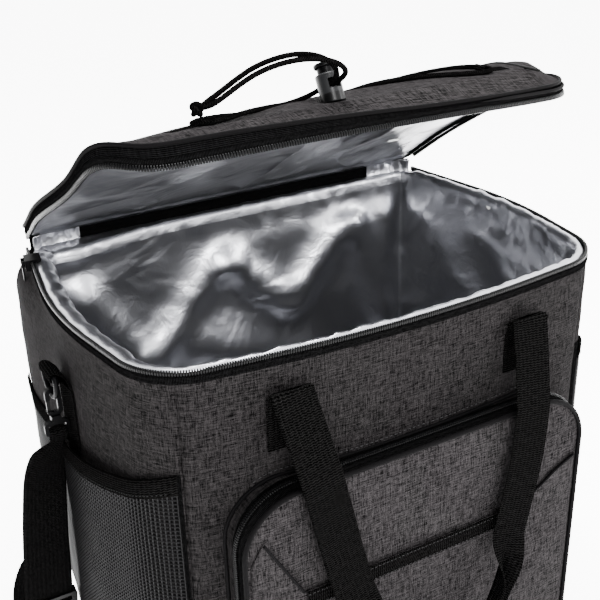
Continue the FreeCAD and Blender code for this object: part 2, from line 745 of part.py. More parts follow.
def lid_shell():
    low, high = size("lid_low"), size("lid_edge_top")
    band_low = size("band_low")
    band = pad("lid_edge_band", "XY_Plane", [lid_plan(-0.4), lid_plan(1.0)], band_low, high - band_low)
    node("lid_edge_band", band, lid_pose)
    lining = pad("lid_lining", "XY_Plane", [lid_plan(1.2)], low, "sizes.liner_thickness")
    node("lid_lining", lining, lid_pose)
    slab = pad("lid_foam_slab", "XY_Plane", [lid_plan(1.3)], low + 1, high - low - 1.2)
    mound = shaped("lid_foam_mound", dome(2.2, high - 1))
    node("lid_foam", both("Fuse", "lid_foam", slab, mound), lid_pose)
    thick = size("shell_thickness")
    outside = shaped("lid_top_outside", dome(1.6, high + thick).fuse(plate(1.6, high, thick)))
    hollow = shaped("lid_top_hollow", dome(2.0, high - 0.8, 0.6))
    node("lid_top_panel", cut("lid_top_panel", outside, hollow), lid_pose)
    piping = pad("lid_piping", "XY_Plane", [lid_plan(-1.8), lid_plan(1.4)], high + 0.2, 3)
    node("lid_piping", piping, lid_pose)
    tape, coil = zip_half("main_zip_upper", band_low - 0.3, band_low + 6, band_low - 2.5)
    node("main_zip_upper_tape", cut("main_zip_upper_tape_trim", tape, lid_core()), lid_pose)
    node("main_zip_upper_coil", coil, lid_pose)


def lid_core():
    return pad("lid_core", "XY_Plane", [lid_plan(-0.5)], 300, 200)


def lid_top():
    return size("lid_edge_top") + size("lid_rise") + size("shell_thickness")


CORD_LOW = lid_top() + 2.4  # height of the cord's centre where it lies on the closed lid
HOLE_Z = lid_top() + 13  # height of the cord lock's cross hole on the closed lid
LOCK = (-20, -111)
FRONT_TURN = [(-104, -119), (-115, -112.5), (-115.6, -99.5), (-101, -87)]
BACK_TURN = [(92, 59), (95.2, 71.6), (87, 82), (70, 83.4), (36, 83)]


def bungee_route():
    """From the lock's front, back through it, round the four loops and home."""
    x, y = LOCK
    z = HOLE_Z
    low = CORD_LOW
    west = [
        (x - 2.1, y - 8.3, z),
        (x - 2.1, y + 9, z),
        (x - 7, y + 20, z - 1.2),
        (x - 21, y + 25, z - 3.4),
        (x - 38, y + 18, z - 6.2),
        (x - 60, y + 5, z - 9.4),
    ]
    turn_west = [(px, py, low) for px, py in FRONT_TURN]
    rising = [(-75, -65, low), (-38, -35, low), (0, -4, low), (38, 23, low), (68, 42, low)]
    turn_back = [(px, py, low) for px, py in BACK_TURN]
    across = [(0, 83.6, low)]
    turn_home = [(-px, py, low) for px, py in reversed(BACK_TURN)]
    falling = [(-68, 42, low + 0.2), (-38, 23, low + 2.4), (0, -6, low + 5), (38, -35, low + 2.4)]
    falling += [(75, -65, low + 0.2)]
    turn_east = [(-px, py, low) for px, py in reversed(FRONT_TURN)]
    east = [
        (x + 98, y + 1, low),
        (x + 74, y + 12, z - 9.6),
        (x + 47, y + 23, z - 6.6),
        (x + 23, y + 27, z - 3.4),
        (x + 7, y + 20, z - 1.2),
        (x + 2.1, y + 9, z),
        (x + 2.1, y - 8.3, z),
    ]
    return west + turn_west + rising + turn_back + across + turn_home + falling + turn_east + east


def tail_routes():
    """The two free ends, from the lock's front hole up and over to the knot."""
    x, y = LOCK
    z = HOLE_Z
    first = [
        (x - 2.1, y - 8.6, z),
        (x - 2.4, y - 16, z + 1),
        (x - 6, y - 23, z + 6),
        (x - 14, y - 24, z + 13),
        (x - 25, y - 20, z + 17.5),
        (x - 37, y - 16, z + 18.5),
        (x - 53, y - 11.5, z + 16.2),
        (x - 66, y - 7, z + 11),
        (x - 78, y - 4, z + 5),
        (x - 88, y - 2.5, z + 0.6),
    ]
    second = [
        (x + 2.1, y - 8.6, z),
        (x + 1.9, y - 18.5, z + 0.4),
        (x - 1.5, y - 26.5, z + 3.2),
        (x - 10, y - 29, z + 8),
        (x - 22, y - 26, z + 12.2),
        (x - 37, y - 20.5, z + 13.8),
        (x - 54, y - 15.5, z + 11.4),
        (x - 67, y - 10.6, z + 6.4),
        (x - 78, y - 7.5, z + 1),
        (x - 88, y - 6, z - 3),
    ]
    return first, second


def bungee():
    diameter = size("cord_diameter")
    route = bungee_route()
    node("bungee_cord", shaped("bungee_cord", tube(route, diameter, "bungee_cord")), lid_pose)
    wide = tube(route, diameter + 0.5)
    top = lid_top() + 0.1
    tabs = []
    for x, y, angle in ((-111, -106, 180), (111, -106, 0), (-89, 76, 140), (89, 76, 40)):
        block = Part.makeBox(22, 10, 4.9, Vector(0, -5, 0))
        block.Placement = Placement(Vector(x, y, top), Rotation(Vector(0, 0, 1), angle))
        tabs.append(block.cut(wide))
    node("bungee_loops", shaped("bungee_loops", Part.makeCompound(tabs)), lid_pose)
    for label, points in zip(("bungee_tail_left", "bungee_tail_right"), tail_routes()):
        node(label, shaped(label, tube(points, diameter, label)), lid_pose)
    knot_at = Vector(*tail_routes()[0][-1]) + Vector(-6, 0.6, -3)
    knot = Part.makeSphere(5.2, knot_at)
    for points in tail_routes():
        knot = knot.cut(tube(points, diameter + 0.1))
    node("bungee_knot", shaped("bungee_knot", knot), lid_pose)


def cord_lock():
    """Barrel with a cross hole, the sprung plunger in its bore, and the spring."""
    x, y = LOCK
    radius, height = size("lock_radius"), size("lock_height")
    base = lid_top() + 0.4
    barrel = Part.makeCylinder(radius, height, Vector(x, y, base))
    barrel = barrel.makeFillet(1.5, [e for e in barrel.Edges if len(e.Vertexes) == 1])
    bore_floor = base + 4.5
    barrel = barrel.cut(Part.makeCylinder(6.2, height, Vector(x, y, bore_floor)))
    hole = Part.makeBox(8.4, 40, 6.4, Vector(x - 4.2, y - 20, HOLE_Z - 3.2))
    node("cord_lock_barrel", shaped("cord_lock_barrel", barrel.cut(hole)), lid_pose)
    stem_low = HOLE_Z - 3.9
    head_low = base + height + size("press_travel") + 0.6
    stem = Part.makeCylinder(5.8, head_low - stem_low + 1, Vector(x, y, stem_low))
    slot_low, slot_high = HOLE_Z - 2.2, HOLE_Z + 2.2 + size("press_travel") + 0.3
    slot = Part.makeBox(8.2, 40, slot_high - slot_low, Vector(x - 4.1, y - 20, slot_low))
    head = Part.makeCylinder(7.4, 3.4, Vector(x, y, head_low))
    head = head.makeFillet(1.4, [e for e in head.Edges if len(e.Vertexes) == 1])
    node("cord_lock_plunger", shaped("cord_lock_plunger", stem.cut(slot).fuse(head)), lid_pose)
    spring_low = bore_floor + 0.5
    node("cord_lock_spring", shaped("cord_lock_spring", spring(x, y, spring_low, 2.4)), lid_pose)


def spring(x, y, low, height, radius=4.4, wire=0.7, turns=2.5, steps=10):
    """A round wire wound up from low; each step of a turn is one run of the path."""
    count = int(turns * steps)
    points = []
    for i in range(count + 1):
        angle = 2 * math.pi * i / steps
        rise = height * i / count
        points.append((x + radius * math.cos(angle), y + radius * math.sin(angle), low + rise))
    return tube(points, wire)


# ---------------------------------------------------------------- zip sliders


PIN, PIN_HOLE = 0.5, 0.58


def lugs_with_hole(x, width, gap, low, height, axis_x, axis_z):
    """Two ears either side of a pull, drilled for its pin."""
    pair = []
    for y in (-gap / 2 - 1.2, gap / 2):
        pair.append(Part.makeBox(width, 1.2, height, Vector(x, y, low)))
    hole = Part.makeCylinder(PIN_HOLE, 40, Vector(axis_x, -20, axis_z), Vector(0, 1, 0))
    return [ear.cut(hole) for ear in pair]


def pull_tab(x, axis_z, length, width):
    """A flat hanging tab with a slot, and the pin it turns on."""
    blade = Part.makeBox(1.4, width, length, Vector(x - 0.7, -width / 2, axis_z - length + 0.7))
    window = Part.makeBox(4, width - 2.6, 6, Vector(x - 2, -(width - 2.6) / 2, axis_z - length + 3.7))
    pin = Part.makeCylinder(PIN, width + 3, Vector(x, -width / 2 - 1.5, axis_z), Vector(0, 1, 0))
    return blade.cut(window).fuse(pin)


def main_slider():
    """Straddles the lower chain on the straight of the left side, near the back."""
    top = size("body_height")
    shell = Part.makeBox(12, 14, 8.4, Vector(-6, -7, top - 2.6))
    channel = Part.makeBox(5.4, 20, 3.2, Vector(-2.8, -10, top + 0.2))
    slot = Part.makeBox(2.6, 20, 20, Vector(-2.4, -10, top - 19.2))
    cavity = Part.makeBox(10, 20, 20, Vector(-0.3, -10, top - 19.2))
    slider = shell.cut(channel).cut(slot).cut(cavity)
    slider = slider.fuse(lugs_with_hole(-8.6, 2.8, 6.2, top - 0.4, 5, -7.5, top + 2.4))
    half, depth = size("body_width") / 2, size("body_depth") / 2
    y = 93
    lean = size("side_bulge") / (depth + 5)
    x = -half - lean * (depth - y)
    at = Placement(Vector(x, y, 0), Rotation(Vector(0, 0, 1), -math.degrees(math.atan(lean))))
    print(f"main slider at x {x:.3f}, runs along {-lean:.5f}, -1")
    node("main_zip_slider", shaped("main_zip_slider", slider), at)
    pull = pull_tab(-7.5, top + 2.4, 25, 5.6)
    node("main_zip_pull", shaped("main_zip_pull", pull), at)


def pocket_slider():
    """Rides the pocket zip's right-hand run, its pull hanging outside."""
    x, y_mid, low = size("pocket_half"), -size("pocket_face") + 9, 112
    shell = Part.makeBox(4.4, 10, 13, Vector(1.3, -5, low))
    channel = Part.makeBox(4, 4.2, 40, Vector(-0.8, -2.1, low - 10))
    lugs = lugs_with_hole(5.6, 2.4, 5.6, low + 7, 5, 7, low + 10)
    at = Placement(Vector(x, y_mid, 0), Rotation())
    node("pocket_zip_slider", shaped("pocket_zip_slider", shell.cut(channel).fuse(lugs)), at)
    node("pocket_zip_pull", shaped("pocket_zip_pull", pull_tab(7, low + 10, 26, 5.0)), at)


# ---------------------------------------------------------------- build and write


def main():
    outer_panels()
    foam_boards()
    liner()
    lower_zip()
    front_pocket()
    slip_pocket()
    side_pockets()
    handles()
    carrying_strap()
    lid_shell()
    bungee()
    cord_lock()
    main_slider()
    pocket_slider()
    doc.recompute()
    write()


def write():
    failed = [o.Name for o in doc.Objects if {"Invalid", "Error"} & set(o.State)]
    if failed:
        raise RuntimeError(f"these objects failed: {failed}")
    os.makedirs("parts", exist_ok=True)
    for label, obj, placement in NODES:
        shape = obj.Shape
        if placement is not None:
            obj.Placement = placement.multiply(obj.Placement)
            shape = obj.Shape
        if shape.isNull() or not shape.isValid() or not shape.Solids:
            raise RuntimeError(f"{label} is null, not valid or has no solid")
        shape.exportStep(f"parts/{label}.step")
        b = shape.BoundBox
        print(
            f"{label:24s} {len(shape.Solids)} solid  {shape.Volume / 1000:8.2f} cm3  "
            f"x {b.XMin:7.1f} {b.XMax:7.1f}  y {b.YMin:7.1f} {b.YMax:7.1f}  z {b.ZMin:6.1f} {b.ZMax:6.1f}"
        )


main()
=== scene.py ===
import math

import bpy
import numpy as np
from mathutils import Matrix, Vector, noise


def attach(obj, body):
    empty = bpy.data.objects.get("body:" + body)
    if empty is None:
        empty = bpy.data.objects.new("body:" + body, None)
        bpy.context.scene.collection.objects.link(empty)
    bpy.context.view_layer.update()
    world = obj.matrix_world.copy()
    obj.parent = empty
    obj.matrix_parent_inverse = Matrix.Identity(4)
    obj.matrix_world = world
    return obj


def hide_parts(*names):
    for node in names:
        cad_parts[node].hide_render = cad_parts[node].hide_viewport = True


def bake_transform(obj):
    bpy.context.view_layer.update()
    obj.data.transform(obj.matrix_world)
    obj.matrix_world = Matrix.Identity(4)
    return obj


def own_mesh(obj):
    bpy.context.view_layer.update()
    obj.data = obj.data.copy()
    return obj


# The looks of the insulated cooler bag.

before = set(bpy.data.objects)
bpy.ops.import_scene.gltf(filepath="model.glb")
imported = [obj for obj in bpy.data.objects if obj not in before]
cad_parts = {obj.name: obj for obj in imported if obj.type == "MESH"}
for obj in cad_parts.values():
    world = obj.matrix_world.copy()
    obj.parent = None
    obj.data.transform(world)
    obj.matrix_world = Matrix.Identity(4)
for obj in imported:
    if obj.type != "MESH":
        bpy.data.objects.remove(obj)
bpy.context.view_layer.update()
MM = 0.001
PITCH = 1.7  # between zip teeth
COLUMN = 1.7  # across the woven columns of webbing
GLOW = 5.4  # of the studio's sky and floor


# ---------------------------------------------------------------- small tools


def smooth(t):
    t = np.clip(t, 0, 1)
    return t * t * (3 - 2 * t)


def bell(x, centre, width):
    return np.exp(-(((x - centre) / width) ** 2))


def bumps(points, scale, seed=0.0):
    """Smooth noise of about -0.6 to 0.6 at each point, with lumps of that size."""
    flat = np.asarray(points, float).reshape(-1, 3) / scale + seed
    made = [noise.noise(Vector(p)) for p in flat]
    return np.array(made).reshape(np.asarray(points).shape[:-1])


def creases(points, scale, seed=0.0, sharp=2.0):
    """Ridged noise from 0 to 1, for folds in film and cloth."""
    value = 1 - np.abs(bumps(points, scale, seed)) / 0.6
    return np.clip(value, 0, 1) ** sharp


def frames_along(path):
    """Unit tangents of a polyline."""
    path = np.asarray(path, float)
    tangent = np.gradient(path, axis=0)
    return tangent / np.linalg.norm(tangent, axis=1)[:, None]


def unit(v):
    v = np.asarray(v, float)
    return v / np.maximum(np.linalg.norm(v, axis=-1, keepdims=True), 1e-9)


def distances(path):
    """How far along a polyline each of its points is."""
    return np.concatenate([[0], np.cumsum(np.linalg.norm(np.diff(path, axis=0), axis=1))])


def resample(path, step):
    """The same polyline with even steps."""
    path = np.asarray(path, float)
    along = distances(path)
    count = max(2, int(round(along[-1] / step)) + 1)
    want = np.linspace(0, along[-1], count)
    return np.stack([np.interp(want, along, path[:, i]) for i in range(path.shape[1])], axis=1)


def raised(p, z):
    """Plan points with a height: one for all, or one each."""
    return np.concatenate([p, np.broadcast_to(np.asarray(z, float)[..., None], (*p.shape[:-1], 1))], axis=-1)


def waves(s, scale, seed):
    """Smooth noise along a line."""
    return bumps(np.stack([s, 0 * s, 0 * s], -1), scale, seed)


def grid(u, v):
    return np.stack(np.meshgrid(u, v), -1)


def quads(rows, cols, wrap=False, base=0, flip=False):
    """Faces over a grid of points; wrap joins the last column to the first."""
    index = np.arange(rows * cols).reshape(rows, cols) + base
    if wrap:
        index = np.hstack([index, index[:, :1]])
    a, b = index[:-1, :-1].ravel(), index[:-1, 1:].ravel()
    c, d = index[1:, 1:].ravel(), index[1:, :-1].ravel()
    faces = np.stack([a, b, c, d], axis=1)
    return faces[:, ::-1] if flip else faces


def mesh(name, verts, faces, uv, mat, body, replaces=(), slot=None):
    """A piece of the object: vertices in mm, UVs in mm per vertex."""
    data = bpy.data.meshes.new(name)
    data.from_pydata((np.asarray(verts) * MM).tolist(), [], [list(map(int, f)) for f in faces])
    layer = data.uv_layers.new(name="UVMap")
    index = np.empty(len(data.loops), dtype=np.int32)
    data.loops.foreach_get("vertex_index", index)
    layer.data.foreach_set("uv", (np.asarray(uv, float)[index] * MM).astype(np.float32).ravel())
    data.polygons.foreach_set("use_smooth", [True] * len(data.polygons))
    data.update()
    made = bpy.data.objects.new(name, data)
    bpy.context.scene.collection.objects.link(made)
    data.materials.append(mat)
    if body:
        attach(made, body)
    if replaces:
        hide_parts(*replaces)
    return made


def normals(P):
    du = np.gradient(P, axis=1)
    dv = np.gradient(P, axis=0)
    return unit(np.cross(du, dv))


def two_sided(front, back, UV, flip=False):
    """Two matching grids of points, closed round the rim."""
    rows, cols = front.shape[:2]
    n = rows * cols
    index = np.arange(n).reshape(rows, cols)
    loop = np.concatenate([index[0, :], index[1:, -1], index[-1, -2::-1], index[-2:0:-1, 0]])
    after = np.roll(loop, -1)
    rim = np.stack([loop, loop + n, after + n, after], axis=1)
    faces = [quads(rows, cols, flip=flip), quads(rows, cols, base=n, flip=not flip)]
    faces.append(rim[:, ::-1] if flip else rim)
    verts = np.vstack([front.reshape(-1, 3), back.reshape(-1, 3)])
    uv = UV.reshape(-1, 2)
    return verts, np.vstack(faces), np.vstack([uv, uv])


def surface(name, P, UV, mat, body, thick=0.0, flip=False, **rest):
    """A grid of points as cloth; thick gives it a back a little behind its face."""
    if not thick:
        faces = quads(*P.shape[:2], flip=flip)
        return mesh(name, P.reshape(-1, 3), faces, UV.reshape(-1, 2), mat, body, **rest)
    side = -1 if flip else 1
    return mesh(name, *two_sided(P, P - normals(P) * thick * side, UV, flip), mat, body, **rest)


def rings(name, P, UV, mat, body, flip=False, **rest):
    """Closed rings of points, each joined to the next."""
    faces = quads(*P.shape[:2], wrap=True, flip=flip)
    return mesh(name, P.reshape(-1, 3), faces, UV.reshape(-1, 2), mat, body, **rest)


def tube_data(path, radius, sides=10, closed=False):
    """Vertices, faces and UVs of a round tube along a polyline."""
    path = np.asarray(path, float)
    radius = np.broadcast_to(np.asarray(radius, float), (len(path),))
    tangent = frames_along(path)
    if closed:
        tangent = unit(np.roll(path, -1, axis=0) - np.roll(path, 1, axis=0))
    up = np.array([0.0, 0.0, 1.0])
    if abs(tangent[0] @ up) > 0.9:
        up = np.array([1.0, 0.0, 0.0])
    side = unit(np.cross(tangent[0], up))
    around = np.linspace(0, 2 * math.pi, sides, endpoint=False)
    verts = []
    for t, p, r in zip(tangent, path, radius):
        side = unit(side - t * (side @ t))
        verts.append(p + r * (np.outer(np.cos(around), side) + np.outer(np.sin(around), np.cross(t, side))))
    rows = len(path)
    uv = grid(around * radius.mean(), distances(path))
    faces = [quads(rows, sides, wrap=True)]
    if closed:
        last = np.arange(sides) + (rows - 1) * sides
        first = np.arange(sides)
        faces.append(np.stack([last, np.roll(last, -1), np.roll(first, -1), first], axis=1))
    faces = [list(f) for f in np.vstack(faces)]
    if not closed:
        faces.append(list(range(sides))[::-1])
        faces.append([(rows - 1) * sides + i for i in range(sides)])
    return np.vstack(verts), faces, uv.reshape(-1, 2)


def join(parts):
    verts, faces, uvs, base = [], [], [], 0
    for v, f, uv in parts:
        verts.append(v)
        uvs.append(uv)
        faces += [[int(i) + base for i in face] for face in f]
        base += len(v)
    return np.vstack(verts), faces, np.vstack(uvs)


def blocks(centres, along, across, up, size, pinch=0.75):
    """Small rounded bars, such as zip teeth: one per centre, size = along, across, up."""
    shape = []
    for z, s in ((-1, pinch), (-0.35, 1), (0.35, 1), (1, pinch)):
        for x, y in ((-1, -s), (-0.6, -1), (0.6, -1), (1, -s), (1, s), (0.6, 1), (-0.6, 1), (-1, s)):
            shape.append((x * (1 if s == 1 else 0.8), y * s, z))
    shape = np.array(shape) * np.array(size) / 2
    ring = [
        [r * 8 + i, r * 8 + (i + 1) % 8, (r + 1) * 8 + (i + 1) % 8, (r + 1) * 8 + i]
        for r in range(3)
        for i in range(8)
    ]
    ends = [list(range(8))[::-1], [24 + i for i in range(8)]]
    verts, faces = [], []
    for k, (c, a, b, u) in enumerate(zip(centres, along, across, up)):
        verts.append(c + shape[:, :1] * a + shape[:, 1:2] * b + shape[:, 2:] * u)
        faces += [[i + 32 * k for i in f] for f in ring + ends]
    verts = np.vstack(verts)
    return verts, faces, np.zeros((len(verts), 2))


def ribbon(name, path, across, width, thick, mat, body, fold=None, columns=12, **rest):
    """Webbing: a flat band along path, its width direction given at each point.

    fold bends both halves back about the middle: 0 is flat, 1 is doubled over.
    """
    path, across = np.asarray(path, float), unit(across)
    tangent = frames_along(path)
    across = unit(across - tangent * np.sum(across * tangent, axis=1)[:, None])
    face = np.cross(tangent, across)
    width = np.broadcast_to(np.asarray(width, float), (len(path),))
    fold = np.zeros(len(path)) if fold is None else np.asarray(fold, float)
    along = distances(path)
    u = np.linspace(-1, 1, columns + 1)
    section, uvs = [], []
    for sign in (1, -1):
        for value in u if sign > 0 else u[::-1]:
            section.append((value, sign))
    verts = np.empty((len(path), len(section), 3))
    uv = np.empty((len(path), len(section), 2))
    for j, (value, sign) in enumerate(section):
        half = width / 2
        reach = np.abs(value) * half
        angle = fold * (math.pi / 2 - 0.05) * smooth(reach / 4)
        out = reach * np.cos(angle) * np.sign(value)
        back = reach * np.sin(angle)
        edge = 1 - 0.55 * max(0.0, (abs(value) - 0.86) / 0.14)
        lift = sign * thick / 2 * edge
        normal_out = np.sin(angle) * np.sign(value) * lift
        normal_face = np.cos(angle) * lift
        verts[:, j] = path + across * (out + normal_out)[:, None] + face * (normal_face - back)[:, None]
        uv[:, j, 0] = value * half
        uv[:, j, 1] = along
    n = len(section)
    faces = [list(f) for f in quads(len(path), n, wrap=True)]
    faces.append(list(range(n))[::-1])
    faces.append([(len(path) - 1) * n + i for i in range(n)])
    return mesh(name, verts.reshape(-1, 3), faces, uv.reshape(-1, 2), mat, body, **rest)


# ---------------------------------------------------------------- materials


class Tree:
    """A node tree being built. A value is a number, a tuple or another node's output."""

    def __init__(self, tree):
        self.nodes, self.links = tree.nodes, tree.links

    def give(self, socket, value):
        if isinstance(value, bpy.types.NodeSocket):
            self.links.new(value, socket)
        else:
            socket.default_value = value

    def give_all(self, node, values):
        """Set a node's inputs by name, with an underscore for each space."""
        for name, value in values.items():
            self.give(node.inputs[name.replace("_", " ")], value)

    def add(self, kind, **values):
        made = self.nodes.new("ShaderNode" + kind)
        self.give_all(made, values)
        return made

    def maths(self, kind, *values):
        made = self.add("Math")
        made.operation = kind
        for socket, value in zip(made.inputs, values):
            self.give(socket, value)
        return made.outputs[0]

    def coordinates(self, kind, x, y, z):
        """Texture coordinates times a scale on each axis, per metre."""
        source = self.add("TexCoord").outputs[kind]
        return self.add("Mapping", Vector=source, Scale=(x, y, z)).outputs["Vector"]

    def noise(self, vector, detail, rough, distort=0.0):
        made = self.add("TexNoise", Vector=vector, Scale=1.0, Detail=detail, Roughness=rough,
                        Distortion=distort)
        return made.outputs["Fac"]

    def ramp(self, value, low, high, colour_low, colour_high):
        level = self.add("MapRange", Value=value, From_Min=low, From_Max=high)
        made = self.add("ValToRGB", Fac=level.outputs["Result"])
        made.color_ramp.elements[0].color = (*colour_low, 1)
        made.color_ramp.elements[1].color = (*colour_high, 1)
        return made.outputs["Color"]


class Material(Tree):
    def __init__(self, name):
        self.made = bpy.data.materials.new(name)
        self.made.use_nodes = True
        super().__init__(self.made.node_tree)

    def shade(self, **values):
        self.give_all(self.nodes["Principled BSDF"], values)

    def bump(self, height, strength, distance):
        made = self.add("Bump", Height=height, Strength=strength, Distance=distance)
        self.shade(Normal=made.outputs["Normal"])


def melange(name, dark, light, kind="UV"):
    """Two-tone woven polyester: streaky threads both ways over a fine weave."""
    tree = Material(name)
    tones = []
    for pitch, length in ((0.5, 5), (1.0, 15)):
        per, run = 1000 / pitch, 1000 / length
        scales = ((per, run, 1), (run, per, 1)) if kind == "UV" else ((per, per, run), (run, run, per))
        tones += [tree.noise(tree.coordinates(kind, *scale), 1.0, 0.6) for scale in scales]
    fine = tree.maths("ADD", *tones[:2])
    coarse = tree.maths("ADD", *tones[2:])
    slub = tree.noise(tree.coordinates(kind, 24, 24, 24), 3.0, 0.6)
    tone = tree.maths("MULTIPLY_ADD", slub, 0.2, tree.maths("MULTIPLY_ADD", coarse, 0.8, fine))
    tree.shade(Base_Color=tree.ramp(tone, 1.60, 2.20, dark, light), Roughness=0.95, Specular_IOR_Level=0.012)
    tree.bump(tree.maths("ADD", fine, coarse), 0.6, 0.0006)
    return tree.made


def ribbed(name, dark, light, pitch=1.5, lean=0.35, rough=0.5):
    """Woven webbing: ribs across the band, stepped in columns along it."""
    tree = Material(name)
    split = tree.add("SeparateXYZ", Vector=tree.coordinates("UV", 1000, 1000, 1))
    across, along = split.outputs["X"], split.outputs["Y"]
    phase = tree.maths("MULTIPLY_ADD", tree.maths("PINGPONG", across, COLUMN), lean, along)
    rib = tree.maths("SINE", tree.maths("MULTIPLY", phase, 2 * math.pi / pitch))
    edge = tree.maths("SINE", tree.maths("MULTIPLY", across, math.pi / COLUMN))
    height = tree.maths("MULTIPLY_ADD", edge, 0.25, rib)
    fuzz = tree.noise(tree.coordinates("UV", 900, 260, 1), 3.0, 0.6)
    # The colour follows the rib height as well as a random fuzz: painted highlight on the rib tops and
    # painted shade in the grooves.
    tone = tree.maths("MULTIPLY_ADD", height, 0.2, fuzz)
    tree.shade(Base_Color=tree.ramp(tone, 0.25, 0.8, dark, light), Roughness=rough, Specular_IOR_Level=0.0)
    tree.bump(height, 1.0, 0.0010)
    return tree.made


def plain(name, colour, rough, metal=0.0, fine=0.0, spec=0.5):
    """One colour; fine is the strength of a fine grain."""
    tree = Material(name)
    tree.shade(Base_Color=(*colour, 1), Roughness=rough, Metallic=metal, Specular_IOR_Level=spec)
    if fine:
        tree.bump(tree.noise(tree.coordinates("Object", 400, 400, 400), 4.0, 0.6), fine, 0.0003)
    return tree.made


def film(name, colour, rough):
    """Silver coated film: bright, soft highlights over fine crumples."""
    tree = Material(name)
    fine = tree.noise(tree.coordinates("Object", 55, 55, 55), 3.0, 0.55, 0.6)
    wide = tree.noise(tree.coordinates("Object", 16, 16, 16), 2.0, 0.5, 0.8)
    worn = tree.noise(tree.coordinates("Object", 9, 9, 9), 3.0, 0.6)
    dull = tree.maths("MULTIPLY_ADD", worn, 0.16, rough - 0.08)
    tree.shade(Base_Color=(*colour, 1), Metallic=1.0, Roughness=dull)
    tree.bump(tree.maths("MULTIPLY_ADD", wide, 6.0, fine), 0.30, 0.003)
    return tree.made


SHELL_TONES = (0.0003, 0.0003, 0.0003), (0.0118, 0.0108, 0.0110)

M = {
    "shell": melange("shell_fabric", *SHELL_TONES),
    "face": melange("face_fabric", (0.0004, 0.0004, 0.0004), (0.0180, 0.0165, 0.0170)),
    "shell_plain": melange("shell_fabric_solid", *SHELL_TONES, "Object"),
    "webbing": ribbed("webbing", (0.0002, 0.0002, 0.0002), (0.0062, 0.0060, 0.0059), 1.7),
    "strap": ribbed("strap_webbing", (0.0002, 0.0002, 0.0002), (0.0058, 0.0056, 0.0056), 1.6, 0.5),
    "tape": ribbed("zip_tape", (0.0004, 0.0004, 0.0004), (0.0066, 0.0065, 0.0067), 0.9, 0.0, 0.85),
    "coil": plain("zip_coil", (0.0010, 0.0010, 0.0011), 0.30, spec=0.06),
    "piping": plain("piping", (0.0009, 0.0008, 0.0009), 0.75, fine=0.5, spec=0.025),
    "mesh": plain("mesh", (0.0022, 0.0021, 0.0023), 0.5, spec=0.05),
    "liner": film("lining", (0.36, 0.363, 0.384), 0.33),
    # A darker copy of the lining film for the lid's underside: painted shade, standing in for the shade and
    # dark reflections under the open lid.
    "shaded_lid_film": film("shaded_lid_film", (0.215, 0.218, 0.233), 0.30),
    "foam": plain("foam", (0.8, 0.8, 0.78), 0.8),
    "metal": plain("black_metal", (0.0005, 0.0005, 0.0006), 0.42, spec=0.022),
    "plastic": plain("black_plastic", (0.0005, 0.0005, 0.0006), 0.36, fine=0.15, spec=0.045),
    "cord": ribbed("elastic_cord", (0.0002, 0.0002, 0.0002), (0.0060, 0.0056, 0.0056), 1.6, 0.9, 0.8),
    "spring": plain("spring_steel", (0.5, 0.5, 0.5), 0.3, metal=1.0),
    "thread": plain("thread", (0.016, 0.0155, 0.016), 0.8, spec=0.05),
    "dark_thread": plain("dark_thread", (0.004, 0.004, 0.004), 0.8, spec=0.1),
}


# ---------------------------------------------------------------- the plan outline


def rounded(corners, radii, step=0.8):
    """Points round a closed outline with rounded corners, anticlockwise."""
    made = []
    for i, p in enumerate(np.asarray(corners, float)):
        u = unit(np.asarray(corners[i - 1], float) - p)
        v = unit(np.asarray(corners[(i + 1) % len(corners)], float) - p)
        turn = math.pi - math.acos(np.clip(u @ v, -1, 1))
        reach = radii[i] * math.tan(turn / 2)
        centre = p + unit(u + v) * radii[i] / math.cos(turn / 2)
        a, b = p + u * reach - centre, p + v * reach - centre
        for t in np.linspace(0, 1, max(3, int(radii[i] * turn / step))):
            made.append(centre + (math.sin((1 - t) * turn) * a + math.sin(t * turn) * b) / math.sin(turn))
    return resample(made + [made[0]], step)[:-1]


class Outline:
    """A closed line seen from above, measured from its start point."""

    def __init__(self, corners, radii, start):
        points = rounded(corners, radii)
        first = np.argmin(np.linalg.norm(points - np.array(start), axis=1))
        points = np.roll(points, -first, axis=0)
        self.points = np.vstack([points, points[:1]])
        self.along = distances(self.points)
        self.length = self.along[-1]
        tangent = unit(np.roll(points, -2, axis=0) - np.roll(points, 2, axis=0))
        normal = np.stack([tangent[:, 1], -tangent[:, 0]], axis=1)
        self.normals = np.vstack([normal, normal[:1]])

    def at(self, s, off=0.0):
        s = np.mod(s, self.length)
        p = np.stack([np.interp(s, self.along, self.points[:, i]) for i in (0, 1)], axis=-1)
        n = np.stack([np.interp(s, self.along, self.normals[:, i]) for i in (0, 1)], axis=-1)
        return p + unit(n) * np.asarray(off)[..., None], unit(n)

    def find(self, x, y):
        return self.along[np.argmin(np.linalg.norm(self.points - np.array([x, y]), axis=1))]


PLAN_RADII = [14, 320, 48, 960, 48, 320, 14]


def plan_corners(back):
    return [(-180, back), (-200, -5), (-180, -128), (0, -149), (180, -128), (200, -5), (180, back)]


BODY = Outline(plan_corners(128), PLAN_RADII, (0, 128))
LID = Outline(plan_corners(124), PLAN_RADII, (0, 124))
S_BACK_LEFT = BODY.find(-178, 112)
S_FRONT_LEFT = BODY.find(-168, -132)
S_FRONT_RIGHT = BODY.find(168, -132)
S_BACK_RIGHT = BODY.find(178, 112)
TAPE = (BODY.find(-178, 117), BODY.find(178, 117))


